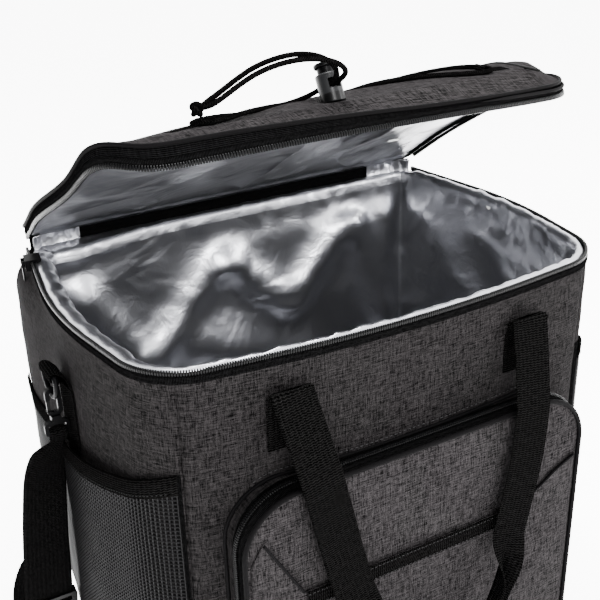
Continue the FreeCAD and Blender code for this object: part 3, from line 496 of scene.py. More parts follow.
def wall_off(s, z):
    """How far the cloth stands outside the plan outline: sags, creases and seams."""
    p, _ = BODY.at(s)
    x, y = p[..., 0], p[..., 1]
    side = smooth((np.abs(x) - 150) / 30)
    back_swell = side * smooth((y - 12) / 85) * smooth((z + 20) / 180) * smooth((352 - z) / 40)
    off = 13 * back_swell * np.where(x < 0, 1.0, 0.35)
    off = off - 4.0 * side * smooth((y - 5) / 60) * bell(z, 60, 90) * 0.2
    here = np.stack([x, y, z], axis=-1)
    off = off + 1.5 * bumps(here * np.array([1, 1, 0.75]), 62, 3.1) + 0.7 * bumps(here, 25, 8.4)
    off = off + 0.5
    for seam in (S_FRONT_LEFT, S_FRONT_RIGHT):
        off = off - 1.1 * bell(s, seam, 2.2) + 0.5 * bell(s, seam + 6, 3) + 0.5 * bell(s, seam - 6, 3)
    off = np.maximum(off, -0.9)
    off = off + (1.4 - off) * smooth((z - 326) / 10)
    return off * smooth((z + 2) / 12) - 0.8 * (1 - smooth(z / 10))


def wall_point(s, z, extra=0.0):
    p, n = BODY.at(s, wall_off(s, z) + extra)
    return raised(p, z)


def span(a, b, step):
    return np.linspace(a, b, max(2, int(round((b - a) / step)) + 1))


def shell_panels():
    length = BODY.length
    places = {
        "left_side_panel": (S_BACK_LEFT, S_FRONT_LEFT),
        "front_panel": (S_FRONT_LEFT, S_FRONT_RIGHT),
        "right_side_panel": (S_FRONT_RIGHT, S_BACK_RIGHT),
        "back_panel": (S_BACK_RIGHT - length, S_BACK_LEFT),
    }
    for node, (a, b) in places.items():
        s, z = np.meshgrid(span(a, b, 3.0), span(1.5, 339.5, 3.0))
        surface(node + "_cloth", wall_point(s, z), np.stack([s, z], -1), M["shell"], "bag_body", thick=1.0,
                replaces=[node], slot="shell_fabric")


def tooth_row(line, up, size, square=True):
    """Zip teeth along a line; square tips each tooth to stand square to the line."""
    line = resample(line, PITCH)
    along = frames_along(line)
    up = np.broadcast_to(np.array(up, float), line.shape)
    if square:
        up = unit(up - along * np.sum(up * along, axis=1)[:, None])
    return blocks(line, along, np.cross(up, along), up, size)


def lower_zip():
    a, b = TAPE
    s = span(a, b, 2.0)
    rows = [(1.2, 335.2), (2.0, 335.9), (2.2, 337.4), (2.2, 339.4), (1.7, 340.8), (0.2, 341.4)]
    lump = 0.25 * waves(s, 40, 2)
    P = np.stack([raised(BODY.at(s, off + lump)[0], z) for off, z in rows])
    UV = grid(s, [0, 1, 2.5, 4.5, 6, 7.6])[..., ::-1]
    surface("main_zip_lower_tape_cloth", P, UV, M["tape"], "bag_body", thick=0.5,
            replaces=["main_zip_lower_tape"], slot="zip_tape")
    s = span(a + 1, b - 1, 1.0)
    line = raised(BODY.at(s, 0.7)[0], 342.7)
    mesh("main_zip_lower_teeth", *tooth_row(line, (0, 0, 1), (1.05, 2.4, 3.6)), M["coil"], "bag_body",
         replaces=["main_zip_lower_coil"], slot="zip_coil")
    mesh("main_zip_lower_cord", *tube_data(line + np.array([0, 0, -0.6]), 0.95, 6), M["tape"], "bag_body",
         slot="zip_tape")


MIDDLE = np.array([0, -8])  # of the bag, seen from above


def shrunk(edge, k):
    """A ring's plan points drawn in towards the middle, to a share k."""
    return edge[:, :2] * k + MIDDLE * (1 - k)


def collar_profile(s):
    """Across the rolled silver edge, from the zip over and down: inset and height."""
    p, _ = BODY.at(s)
    wide = smooth((-p[:, 0] - 60) / 100) * smooth((p[:, 1] + 140) / 60)
    back = smooth((p[:, 1] - 105) / 12)
    pucker = waves(s, 14, 4.0)
    fine = waves(s, 5, 9.0)
    reach = 7 + 7 * wide
    rows = []
    section = ((0, 338), (0.02, 341.4), (0.12, 342.8), (0.35, 344.3), (0.65, 344.2), (0.9, 342.2),
               (1.05, 338), (1.1, 332))
    for t, h in section:
        lump = math.sin(min(t, 1) * math.pi)
        inset = 0.9 + 3.2 * back + reach * t * (1 + 0.25 * pucker * t)
        height = h - 3.5 * back * lump + (1.8 * pucker + 0.8 * fine) * (lump + 0.15) - 3.0 * wide * t
        rows.append((inset, height))
    return rows


def fold(P, start, end, width, depth):
    """One long soft fold between two points, fading out at both ends."""
    start, end = np.array(start, float), np.array(end, float)
    along = end - start
    t = np.clip(((P - start) @ along) / (along @ along), -0.2, 1.2)
    gap = np.linalg.norm(P - start - t[..., None] * along, axis=-1)
    fade = smooth((t + 0.2) / 0.35) * smooth((1.2 - t) / 0.35)
    return depth * fade * np.exp(-((gap / width) ** 2))


FOLDS = [
    ((-150, 120, 300), (-95, 120, 215), 17, 10),
    ((-95, 120, 215), (-20, 120, 300), 16, 9),
    ((-20, 120, 300), (45, 120, 240), 15, 9),
    ((45, 120, 240), (110, 120, 315), 17, 10),
    ((110, 120, 315), (150, 120, 190), 15, 8),
    ((-60, 120, 230), (70, 120, 170), 24, 9),
    ((-150, 120, 190), (-40, 120, 130), 26, 8),
    ((-188, 70, 310), (-190, 20, 190), 18, 9),
    ((-190, -40, 320), (-185, -70, 200), 18, 8),
    ((186, 80, 300), (190, -20, 200), 22, 6),
    ((190, 10, 320), (186, -80, 240), 24, 6),
    ((-100, -138, 320), (-20, -138, 250), 18, 7),
    ((40, -138, 320), (110, -138, 240), 18, 7),
]


def film_depth(P, top):
    """How far the loose silver film has come away from the foam, always inward."""
    low = smooth((337 - P[..., 2]) / 34) if top else 1.0
    stretch = P * np.array([1, 1, 0.7])
    wave = bumps(stretch, 105, 6.0)
    second = bumps(stretch + 60 * wave[..., None], 58, 2.5)
    right = smooth((P[..., 0] - 150) / 25)
    depth = 3.2 + (4.0 * wave + 1.6 * second) * (1 - 0.55 * right)
    corner = np.exp(-((np.hypot(P[..., 0] - 172, P[..., 1] - 119) / 9) ** 2)) if top else 0.0
    ridge = bell(P[..., 0], 150, 12) * smooth((P[..., 1] - 100) / 10) * top
    depth = depth * (1 - corner) + 4 * ridge
    if top:
        for start, end, width, height in FOLDS:
            depth = depth + fold(P, start, end, width, height)
    return np.clip(depth * low, 0, 15) + 0.4


def liner():
    s = np.linspace(0, BODY.length, 360, endpoint=False)
    profile = collar_profile(s)
    collar = np.array([raised(BODY.at(s, -inset)[0], height) for inset, height in profile])
    inner = profile[-1][0]
    rings("liner_collar_roll", collar, grid(s, np.arange(len(collar)) * 3.0), M["liner"], "bag_body",
          replaces=["liner_collar"], slot="lining")
    rows = []
    zs = np.concatenate([[333.0], np.linspace(328, 22, 70), [16, 12, 10.5]])
    for z in zs:
        rest = 8.8 + 6 * smooth((22 - z) / 14) ** 2
        blendin = smooth((336 - z) / 26)
        depth = film_depth(raised(BODY.at(s, -rest)[0], z), True)
        inset = inner * (1 - blendin) + (rest + depth) * blendin
        rows.append(raised(BODY.at(s, -inset)[0], z))
    last = rows[-1]
    for k in np.linspace(1, 0.01, 60)[1:]:
        q = shrunk(last, k)
        rise = film_depth(raised(q, 10.0) + 200, False) * 0.6 * smooth((1 - k) / 0.15)
        rows.append(raised(q, 10.2 + rise))
    rings("liner_film", np.array(rows), grid(s, np.arange(len(rows)) * 4.4), M["liner"], "bag_body",
          replaces=["liner"], slot="lining")


def hinge():
    """The black strip the lid turns on, and the gathered silver at its two ends."""
    x = span(-179, 179, 3)
    rows = [(126.0, 335.5), (126.7, 339), (127.2, 342), (127.5, 346), (127.2, 350.2), (126.3, 352.6)]
    curve = 7 * smooth((np.abs(x) - 164) / 15)
    P = np.array([np.stack([x, y + 0.5 * np.sin(x / 23 + z) - curve, z + 0.5 * np.sin(x / 31)], -1)
                  for y, z in rows])
    UV = grid(x, [0, 3.6, 6.8, 10.8, 15, 17.5])[..., ::-1]
    strip = surface("hinge_strip_cloth", P, UV, M["tape"], None, thick=1.0, flip=True,
                    replaces=["hinge_strip"], slot="zip_tape")
    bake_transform(strip)
    for name, sign in (("left", -1), ("right", 1)):
        u, v = np.meshgrid(np.linspace(0, 1, 40), np.linspace(0, 1, 26))
        x = sign * (177 - 40 * u)
        z = 338 + 14.5 * v
        y = 121.5 - 7 * smooth((0.3 - u) / 0.3) + 2.2 * np.sin(v * math.pi)
        here = np.stack([x, y, z], -1)
        y = y + 2.2 * creases(here * np.array([1, 1, 0.45]), 9, 3.0 + sign, 2.0) * (1 - u * 0.5) - 1.2
        y = np.minimum(y + 3.5 * smooth((u - 0.75) / 0.25), 125.4)
        P = np.stack([x, y, z], -1)
        silver = surface(f"{name}_corner_gather", P, np.stack([x, z], -1), M["liner"], None, thick=0.4,
                         flip=sign > 0, slot="lining")
        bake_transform(silver)


# ---------------------------------------------------------------- the lid

LID_TOP = 366.6
OPEN = math.radians(27)
LID_UP = (0, math.sin(OPEN), math.cos(OPEN))
HINGE_Y, HINGE_Z = 127.0, 350.0


def through(t, ts, vs):
    """A smooth curve through given values."""
    ts, vs = np.array(ts, float), np.array(vs, float)
    slope = np.gradient(vs, ts)
    i = np.clip(np.searchsorted(ts, t) - 1, 0, len(ts) - 2)
    h = ts[i + 1] - ts[i]
    k = (np.clip(t, ts[0], ts[-1]) - ts[i]) / h
    return (
        (2 * k**3 - 3 * k**2 + 1) * vs[i]
        + (k**3 - 2 * k**2 + k) * h * slope[i]
        + (3 * k**2 - 2 * k**3) * vs[i + 1]
        + (k**3 - k**2) * h * slope[i + 1]
    )


LID_STEPS = [0, 0.25, 0.5, 0.72, 0.87, 1.0]


def lid_bend(x, y):
    """The soft lid bows up in the middle, droops at the front and pulls in at one corner."""
    u, t = np.clip(x / 196, -1, 1), np.clip((HINGE_Y - y) / 270, 0, 1)
    left = through(t, LID_STEPS, [0, 0, 0, -1.5, -4, -5])
    mid = through(t, LID_STEPS, [0, 5, 7.5, 5, -0.5, -5.4])
    right = through(t, LID_STEPS, [0, 12, 17, 16, 5, -9])
    dz = left * (u * u - u) / 2 + mid * (1 - u * u) + right * (u * u + u) / 2
    dz = dz + 11 * np.exp(-(((x + 184) / 22) ** 2 + ((y + 108) / 40) ** 2))
    pull = smooth((x - 50) / 130) * smooth((-y - 10) / 120)
    dx = -5 * pull + 4 * smooth((-x - 120) / 70) * np.sin(math.pi * t)
    return dx, 9 * pull, dz


def band_height(x, y):
    """The visible height of the lid's edge band."""
    front = smooth((-y - 60) / 60)
    along = through(np.clip((x + 196) / 392, 0, 1), [0, 0.12, 0.35, 0.6, 1], [10, 11, 9, 5.5, 6.5])
    return 6.5 * (1 - front) + along * front


def lid_mound(x, y):
    """The stuffing under the top cloth."""
    across = np.clip(1 - np.abs(x / 205) ** 3, 0, 1)
    return 10 * smooth((y + 138) / 60) * smooth((124 - y) / 100) * across


def lid_flat(P):
    """From the closed lid's coordinates to the open pose it is modelled in, as the hardware stands."""
    P = np.asarray(P, float)
    c, s = math.cos(OPEN), math.sin(OPEN)
    dy, dz = P[..., 1] - HINGE_Y, P[..., 2] - HINGE_Z
    return np.stack([P[..., 0], HINGE_Y + dy * c + dz * s, HINGE_Z - dy * s + dz * c], axis=-1)


def lid_world(P):
    """The same for the soft lid, which is also bent."""
    P = np.asarray(P, float)
    return lid_flat(P + np.stack(lid_bend(P[..., 0], P[..., 1]), axis=-1))


def lid_rows(s, rows):
    """Rings round the lid: (offset outside its plan, height)."""
    return np.array([raised(LID.at(s, off)[0], z) for off, z in rows])


def lid_top_height(x, y, inset):
    """Closed height of the top cloth, inset mm inside the lid's outline."""
    x, y = np.asarray(x, float), np.asarray(y, float)
    full = LID_TOP - 6 * smooth((-x - 140) / 50) + lid_mound(x, y)
    share = smooth(np.asarray(inset, float) / 20)
    return (350.0 + band_height(x, y)) * (1 - share) + full * share


LID_S = np.linspace(0, LID.length, 620, endpoint=False)
LID_P = LID.at(LID_S)[0]
LID_LUMP = waves(LID_S, 34, 5.0)
LID_TALL = band_height(LID_P[:, 0], LID_P[:, 1])  # of the edge band, all round


def lid_edge():
    """The edge band, and the upper half of the zip under it."""
    s, p, lump, tall = LID_S, LID_P, LID_LUMP, LID_TALL
    band = [(0.2, 0), (0.8 + 0.3 * lump, 0.2), (1.4 + 0.8 * lump, 0.5), (1.2 + 0.6 * lump, 0.85), (0.4, 1.05)]
    band = lid_rows(s, [(off, 349.0 + tall * share) for off, share in band])
    rings("lid_edge_cloth", lid_world(band), grid(s, [0, 1.8, 4.4, 7.4, 9]), M["tape"], "lid",
          replaces=["lid_edge_band"], slot="face_fabric")
    reach = 8 * smooth((p[:, 0] - 165) / 25) * smooth((p[:, 1] + 140) / 50)
    tape = lid_rows(s, [(-0.7 - reach, 347.6), (-0.6, 348.3), (0.9, 348.9), (1.5, 350.0),
                        (1.8 + 0.8 * lump, 352.4), (1.3 + 0.8 * lump, 353)])
    keep = np.where(p[:, 1] < 124)[0]
    UV = grid(s[keep], [-8, 0, 1.5, 3, 5.8, 7])[..., ::-1]
    surface("main_zip_upper_tape_cloth", lid_world(tape[:, keep]), UV, M["tape"], "lid", thick=0.6,
            replaces=["main_zip_upper_tape"], slot="zip_tape")
    fine = span(LID.find(-178, 112), LID.find(178, 112), 1.0)
    line = lid_world(lid_rows(fine, [(0.6, 347.6)])[0])
    mesh("main_zip_upper_teeth", *tooth_row(line, LID_UP, (1.05, 2.4, 3.4)), M["coil"], "lid",
         replaces=["main_zip_upper_coil"], slot="zip_coil")


def lid_underside():
    """The film: rings inside the zip and then rings to the middle."""
    s = LID_S
    rows = list(lid_rows(s, [(-0.4, 349.0), (-3.5, 347.9 + 0.6 * LID_LUMP), (-8.0, 349.2)]))
    edge = rows[-1]
    for k in np.linspace(1, 0.01, 56)[1:]:
        q = shrunk(edge, k)
        here = raised(q, 0.0)
        depth = 0.4 + 2.6 * bumps(here * np.array([1, 1.6, 1]), 75, 3.0) + 1.8 * creases(here, 90, 7.0, 6.0)
        rows.append(raised(q, 350.6 - smooth((1 - k) / 0.1) * depth))
    # The lid's film is the darker copy of the lining, with painted shade.
    rings("lid_lining_film", lid_world(np.array(rows)), grid(s, np.arange(len(rows)) * 3.4), M["shaded_lid_film"],
          "lid", flip=True, replaces=["lid_lining"], slot="lining")


def lid_top():
    """The top cloth, puckered along its seam, and the foam slab under it."""
    s = LID_S
    rows = [lid_rows(s, [(0.2, 349.8 + LID_TALL)])[0]]
    for inset in (1.0, 2.0, 3.5, 6, 9, 13, 18):
        ring = lid_rows(s, [(-inset, 0.0)])[0]
        pucker = 0.45 * waves(s, 4.5, 1.0) * bell(inset, 5, 6)
        ring[:, 2] = lid_top_height(ring[:, 0], ring[:, 1], inset) + pucker
        rows.append(ring)
    edge = rows[-1]
    for k in np.linspace(1, 0.01, 50)[1:]:
        q = shrunk(edge, k)
        z = lid_top_height(q[:, 0], q[:, 1], 18 + (1 - k) * 130)
        rows.append(raised(q, z + smooth((1 - k) / 0.1) * 0.9 * bumps(raised(q, 0.0), 48, 2.0)))
    P = np.array(rows)
    cloth = rings("lid_top_cloth", lid_world(P), P[..., :2], M["face"], "lid", replaces=["lid_top_panel"],
                  slot="face_fabric")
    rows = list(lid_rows(s, [(-2.5, 351.4), (-2.5, 348.4 + LID_TALL)]))
    for k in (0.94, 0.8, 0.6, 0.4, 0.2, 0.01):
        q = shrunk(rows[0], k)
        rows.append(raised(q, lid_top_height(q[:, 0], q[:, 1], 2.5 + (1 - k) * 130) - 2.0))
    under = [raised(r[:, :2], 351.4) for r in rows[:1:-1]]
    P = np.array(under + rows)
    rings("lid_foam_slab", lid_world(P), P[..., :2], M["foam"], "lid", replaces=["lid_foam"], slot="foam")


def lid_trim():
    """Piping above the band and, at the right front, below it; and a seam across the top."""
    ring = lid_world(lid_rows(LID_S, [(0.9, 350.0 + LID_TALL)])[0])
    upper = tube_data(ring, 1.35, 10, closed=True)
    front = span(LID.find(70, -141), LID.find(184, 60), 2.0)
    ring = lid_world(lid_rows(front, [(1.9, 352.6)])[0])
    lower = tube_data(ring, np.clip(np.linspace(0.2, 10, len(front)), 0.2, 1.2), 8)
    mesh("lid_piping_roll", *join([upper, lower]), M["piping"], "lid", replaces=["lid_piping"], slot="piping")
    seam = resample([(147.0, -128.0), (147.0, 105.0)], 3)
    seam = seam[seam[:, 1] < 96]
    seam = lid_world(raised(seam, lid_top_height(seam[:, 0], seam[:, 1], 45) + 0.25))
    mesh("lid_top_seam", *tube_data(seam, 1.0, 6), M["dark_thread"], "lid", slot="piping")


# ---------------------------------------------------------------- cords on the lid

LOCK = (-20, -111)
FRONT_TURN = [(-104, -119), (-115, -112.5), (-115.6, -99.5), (-101, -87)]
BACK_TURN = [(92, 59), (95.2, 71.6), (87, 82), (70, 83.4), (36, 83)]
CORD_LOW = LID_TOP + 2.4
CORD_RADIUS = 1.75
HOLE_Z = LID_TOP + 13


def nurbs_line(points, step=2.0):
    """Points read along an open NURBS spline through given control points."""
    data = bpy.data.curves.new("line", "CURVE")
    data.dimensions = "3D"
    curve = data.splines.new("NURBS")
    curve.points.add(len(points) - 1)
    for point, co in zip(curve.points, points):
        point.co = (*[float(c) for c in co], 1)
    curve.order_u = 3
    curve.use_endpoint_u = True
    curve.resolution_u = 16
    holder = bpy.data.objects.new("line", data)
    bpy.context.scene.collection.objects.link(holder)
    bpy.context.view_layer.update()
    got = bpy.data.meshes.new_from_object(holder)
    line = np.array([v.co for v in got.vertices], float)
    bpy.data.meshes.remove(got)
    bpy.data.objects.remove(holder)
    bpy.data.curves.remove(data)
    return resample(line, step)


def on_lid(points):
    """Raise a cord's low points on to the visible top cloth."""
    p = np.array(points, float)
    x, y, z = p.T
    near = np.clip(1 - np.maximum(0, z - CORD_LOW) / 9, 0, 1)
    p[:, 2] = z + (lid_top_height(x, y, 60) + 1.9 - CORD_LOW) * near
    return p


def cord_world(points):
    """Cord control points: on the arched top away from the lock, flat beside it."""
    arched, flat = lid_world(on_lid(points)), lid_flat(points)
    p = np.asarray(points, float)
    away = np.hypot(p[:, 0] - LOCK[0], p[:, 1] - LOCK[1])
    mix = smooth((away - 24) / 34)[:, None]
    return arched * mix + flat * (1 - mix)


def bungee():
    """The cord: out of the lock, round both front tabs, crossed, round both back tabs, and in again."""
    x, y = LOCK
    z, low = HOLE_Z, CORD_LOW
    route = [(x - 2.1, y - 8.3, z), (x - 2.1, y + 9, z), (x - 7, y + 20, z - 1.2), (x - 21, y + 25, z - 3.4),
             (x - 38, y + 18, z - 6.2), (x - 60, y + 5, z - 9.4)]
    route += [(a, b, low) for a, b in FRONT_TURN]
    route += [(-75, -65, low), (-38, -35, low), (0, -4, low), (38, 23, low), (68, 42, low)]
    route += [(a, b, low) for a, b in BACK_TURN] + [(0, 83.6, low)]
    route += [(-a, b, low) for a, b in reversed(BACK_TURN)]
    route += [(-68, 42, low + 0.2), (-38, 23, low + 2.4), (0, -6, low + 5), (38, -35, low + 2.4)]
    route += [(75, -65, low + 0.2)] + [(-a, b, low) for a, b in reversed(FRONT_TURN)]
    route += [(x + 98, y + 1, low), (x + 74, y + 12, z - 9.6), (x + 47, y + 23, z - 6.6),
              (x + 23, y + 27, z - 3.4), (x + 7, y + 20, z - 1.2), (x + 2.1, y + 9, z), (x + 2.1, y - 8.3, z)]
    line = nurbs_line(cord_world(route), 2.0)
    mesh("bungee_cord_round", *tube_data(line, CORD_RADIUS, 12), M["cord"], "lid", replaces=["bungee_cord"],
         slot="elastic_cord")


def bungee_tails():
    """The two ends, side by side from the lock to one knot."""
    x, y = LOCK
    z = HOLE_Z
    first = [(x - 2.1, y - 8.6, z), (x - 2.4, y - 16, z + 1), (x - 6, y - 23, z + 6),
             (x - 14, y - 24, z + 13), (x - 25, y - 20, z + 17.5), (x - 37, y - 16, z + 18.5),
             (x - 53, y - 11.5, z + 16.2), (x - 66, y - 7, z + 11), (x - 78, y - 4, z + 5),
             (x - 88, y - 2.5, z + 0.6)]
    second = [(x + 2.1, y - 8.6, z), (x + 1.9, y - 18.5, z + 0.4), (x - 1.5, y - 26.5, z + 3.2),
              (x - 10, y - 29, z + 8), (x - 22, y - 26, z + 12.2), (x - 37, y - 20.5, z + 13.8),
              (x - 54, y - 15.5, z + 11.4), (x - 67, y - 10.6, z + 6.4), (x - 78, y - 7.5, z + 1),
              (x - 88, y - 6, z - 3)]
    knot_at = np.array(first[-1]) + np.array([-6, 0.6, -3])
    a = np.linspace(0, 2 * math.pi, 64)
    r = 2.5 + 0.9 * np.cos(3 * a)
    turns = knot_at + np.stack([2.1 * np.sin(3 * a), r * np.cos(2 * a), r * np.sin(2 * a)], -1)
    knot = mesh("bungee_knot_turns", *tube_data(lid_flat(turns), CORD_RADIUS, 10), M["cord"], "lid",
                replaces=["bungee_knot"], slot="elastic_cord")
    for label, points, pieces in (("bungee_tail_left", first, [knot]), ("bungee_tail_right", second, [])):
        control = lid_flat(np.array(points + [tuple(knot_at + np.array([2.5, 0, 0.8]))]))
        line = nurbs_line(control, 1.5)
        tail = mesh(label + "_round", *tube_data(line, CORD_RADIUS, 12), M["cord"], "lid", replaces=[label],
                    slot="elastic_cord")


def cord_loops():
    """Short folded tabs sewn to the lid's top, each holding the cord in its fold."""
    parts = []
    wide = np.linspace(-5, 5, 9)
    for x, y, angle in ((-111, -106, 180), (111, -106, 0), (-89, 76, 140), (89, 76, 40)):
        a = math.radians(angle)
        out, side = np.array([math.cos(a), math.sin(a), 0]), np.array([-math.sin(a), math.cos(a), 0])
        shape = [(22, 0.4), (12, 0.5), (6, 1.0), (3, 2.6), (1.2, 4.3), (-0.8, 4.9), (-2.6, 4.2), (-3.4, 2.6),
                 (-2.6, 1.1), (0, 0.4)]
        line = nurbs_line([(r, 0, h) for r, h in shape], 0.7)
        rows = []
        for w in wide:
            base = np.array([x, y, 0]) + out * (line[:, :1]) + side * w
            base[:, 2] = lid_top_height(base[:, 0], base[:, 1], 60) + line[:, 2] - 0.6
            rows.append(base)
        P = lid_world(np.array(rows).transpose(1, 0, 2))
        half = normals(P) * 0.5
        parts.append(two_sided(P + half, P - half, grid(wide, np.arange(len(P)) * 0.7)))
    mesh("bungee_loop_tabs", *join(parts), M["webbing"], "lid", replaces=["bungee_loops"], slot="webbing")


# ---------------------------------------------------------------- front pocket

# the pocket's outline is seen from the front: its second axis is height
POCKET = Outline([(-140, 18), (140, 18), (140, 254), (-140, 254)], [24, 24, 40, 40], (0, 18))
POCKET_MID = np.array([0.0, 136.0])


def pocket_ring(s, off, y):
    """A ring round the pocket's outline, off mm outside it, at depth y."""
    return raised(POCKET.at(s, off)[0], y)[..., [0, 2, 1]]


def face_y(x, z):
    """Depth of the pocket's stuffed face."""
    x, z = np.asarray(x, float), np.asarray(z, float)
    inset = np.minimum(np.minimum(140 - np.abs(x), z - 18), 254 - z)
    swell = 2.2 * smooth(inset / 40)
    here = np.stack([x, 0 * x, z], axis=-1)
    wrinkle = 0.8 * bumps(here * np.array([1, 1, 0.8]), 50, 11.0) + 0.4 * bumps(here, 20, 4.0)
    return -161.2 - swell - wrinkle * smooth(inset / 12)


POCKET_S = np.linspace(0, POCKET.length, 500, endpoint=False)


def front_pocket():
    """The side band, the stuffed face and the piping at both edges of the band."""
    s = POCKET_S
    lump = waves(s, 30, 6.0)
    section = ((-131, 0.4), (-136, 0.2), (-141, -0.2), (-146, 0.3), (-152, 0.6), (-157, 0.4), (-160.3, 0.0))
    P = np.array([pocket_ring(s, off + 0.9 * lump * bell(y, -147, 8), y) for y, off in section])
    rings("front_pocket_gusset_cloth", P, grid(s, [0, 5, 10, 15, 21, 26, 29.3]), M["shell"], "bag_body",
          replaces=["front_pocket_gusset"], slot="shell_fabric")
    rows = [pocket_ring(s, 0.0, -160.4)]
    edge = pocket_ring(s, 0.0, 0.0)
    for k in [0.995, 0.985, 0.97] + list(np.linspace(0.955, 0.01, 62)):
        q = edge * k + np.array([POCKET_MID[0], 0, POCKET_MID[1]]) * (1 - k)
        q[:, 1] = face_y(q[:, 0], q[:, 2])
        if k > 0.97:
            q[:, 1] += 0.8
        rows.append(q)
    P = np.array(rows)
    face = rings("front_pocket_face", P, P[..., [0, 2]], M["face"], "bag_body",
                 replaces=["front_pocket_panel"], slot="face_fabric")
    front = tube_data(pocket_ring(s[::2], 0.9, -161.4), 1.75, 10, closed=True)
    back = pocket_ring(s[::2], 1.4, 0.0)
    back[:, 1] = 0.00052 * back[:, 0] ** 2 - 143.9
    rear = tube_data(back, 1.3, 8, closed=True)
    mesh("front_pocket_piping_roll", *join([front, rear]), M["piping"], "bag_body",
         replaces=["front_pocket_piping"], slot="piping")


def pocket_zip():
    """The closed zip round the two sides and the top, and the stitches above it."""
    a, b = POCKET.find(140, 60), POCKET.find(-140, 60)
    t = span(a, b, 1.5)
    section = ((0.9, -143.6), (1.5, -144.6), (1.7, -148.6), (2.2, -149.6), (2.2, -153.0), (1.7, -154.0),
               (1.6, -158), (1.0, -159.4))
    P = np.array([pocket_ring(t, off, y) for off, y in section])
    UV = grid(t, [0, 1.4, 5.4, 6.9, 8.7, 10, 13.5, 15])[..., ::-1]
    surface("pocket_zip_tape_cloth", P, UV, M["tape"], "bag_body", thick=0.5, replaces=["pocket_zip_tape"],
            slot="zip_tape")
    parts = []
    for y, shift in ((-150.4, 0.0), (-152.2, 0.85)):
        line = pocket_ring(span(a + 1 + shift, b - 1, 1.0), 2.9, y)
        parts.append(tooth_row(line, (0, 1, 0), (1.1, 2.0, 2.5), square=False))
    mesh("pocket_zip_teeth", *join(parts), M["coil"], "bag_body", replaces=["pocket_zip_coil"],
         slot="zip_coil")
    line = []
    for x, z in POCKET.at(span(POCKET.find(120, 250), POCKET.find(-120, 250), 2.0), 5.0)[0]:
        line.append((x, wall_point(BODY.find(x, -142), z, 0.4)[1], z))
    stitches("front_pocket_stitches", [np.array(line)], "bag_body")


def stitches(name, lines, body, length=2.6, gap=1.3, radius=0.3, mat="thread"):
    """Rows of short thread stitches along each line."""
    parts = []
    for line in lines:
        line = resample(line, 0.65)
        step = int(round((length + gap) / 0.65))
        keep = int(round(length / 0.65))
        for i in range(0, len(line) - keep, step):
            part = line[i:i + keep + 1]
            r = np.full(len(part), radius)
            r[0] = r[-1] = radius * 0.5
            parts.append(tube_data(part, r, 5))
    return mesh(name, *join(parts), M[mat], body)


def slip_pocket():
    x = span(-137, 137, 2.2)
    corner = 42 - np.sqrt(np.maximum(0, 21.0**2 - (np.abs(x) - 116) ** 2))
    low = np.where(np.abs(x) > 116, corner, 21.0)
    high = np.interp(x, [-137, -136, -128, -100, 84, 116, 136, 137], [211, 213, 227, 177, 177, 194, 201, 201])
    v = np.linspace(0, 1, 80)
    X = np.broadcast_to(x, (80, len(x)))
    Z = low + (high - low) * v[:, None]
    edge = np.minimum(X + 137, 137 - X)
    Y = face_y(X, Z) - 0.9 - 0.9 * smooth(edge / 3)
    Y = Y - 0.9 * bell(Z, high - 4, 8) * (np.abs(X) < 84)
    P = np.stack([X, Y, Z], -1)
    surface("slip_pocket_cloth", P, np.stack([X, Z], -1), M["face"], "bag_body", thick=0.8,
            replaces=["slip_pocket_panel"], slot="face_fabric")
    t = span(-99, 82, 2.0)
    zc = np.full_like(t, 171.0)
    line = np.stack([t, face_y(t, zc) - 3.2, zc], -1)
    ribbon("slip_pocket_strip", line, np.tile([0, 0, 1.0], (len(t), 1)), 12.5, 1.3, M["webbing"], "bag_body",
           replaces=["slip_pocket_webbing"], slot="webbing")
    seams = []
    for a, b in (((-128, 226), (-101, 178)), ((84, 178), (116, 194.5)), ((116, 194.5), (135, 201.5))):
        q = np.linspace(a, b, 40)
        seams.append(np.stack([q[:, 0], face_y(q[:, 0], q[:, 1]) - 2.1, q[:, 1] - 0.6], -1))
    rolls = [tube_data(q, 1.0, 8) for q in seams]
    mesh("slip_pocket_edges", *join(rolls), M["piping"], "bag_body", slot="piping")
    lines = [np.stack([t, face_y(t, zc) - 4.1, zc + dz], -1) for dz in (4.9, -4.9)]
    stitches("slip_pocket_stitches", lines, "bag_body", 2.2, 1.2, 0.22)


# ---------------------------------------------------------------- mesh side pockets


HEM_Y = [-150, -122, -93, -40, 0, 60, 118, 140]
HEM_Z = [270, 263, 252, 238, 233, 227, 228, 229]


def hem_height(s):
    p, _ = BODY.at(s)
    return through(p[..., 1], HEM_Y, HEM_Z)


def net_off(s, z, ends):
    """How far the side pocket's net stands off the plan outline."""
    t = np.clip((s - ends[0]) / (ends[1] - ends[0]), 0, 1)
    arch = np.clip(np.sin(math.pi * t), 0, 1) ** 0.7
    rise = smooth((z - 20) / 60)
    return 1.4 + (6.6 * arch) * (0.3 + 0.7 * rise) + 0.6 * arch * bumps(np.stack([s, z, 0 * z], -1), 26, 3.0)


def net_point(s, z, ends, extra=0.0):
    p, _ = BODY.at(s, np.maximum(net_off(s, z, ends), wall_off(s, z) + 1.0) + extra)
    return raised(p, z)


HOLE = 3.0  # the pitch of the net
STRAND = 0.72


def net(ends):
    """Upright strands, and level ones that stop where they meet the hem."""
    parts = []
    columns = span(*ends, HOLE)
    for s in columns:
        z = np.linspace(20, hem_height(s) - 3, 84)
        parts.append(tube_data(net_point(np.full_like(z, s), z, ends), STRAND, 4))
    for i in range(int(245 / HOLE)):
        z = np.full_like(columns, 21 + i * HOLE)
        inside = np.where(z < hem_height(columns) - 4)[0]
        for run in np.split(inside, np.where(np.diff(inside) > 1)[0] + 1):
            if len(run) > 2:
                parts.append(tube_data(net_point(columns[run], z[run], ends, 0.25), STRAND, 4))
    return join(parts)


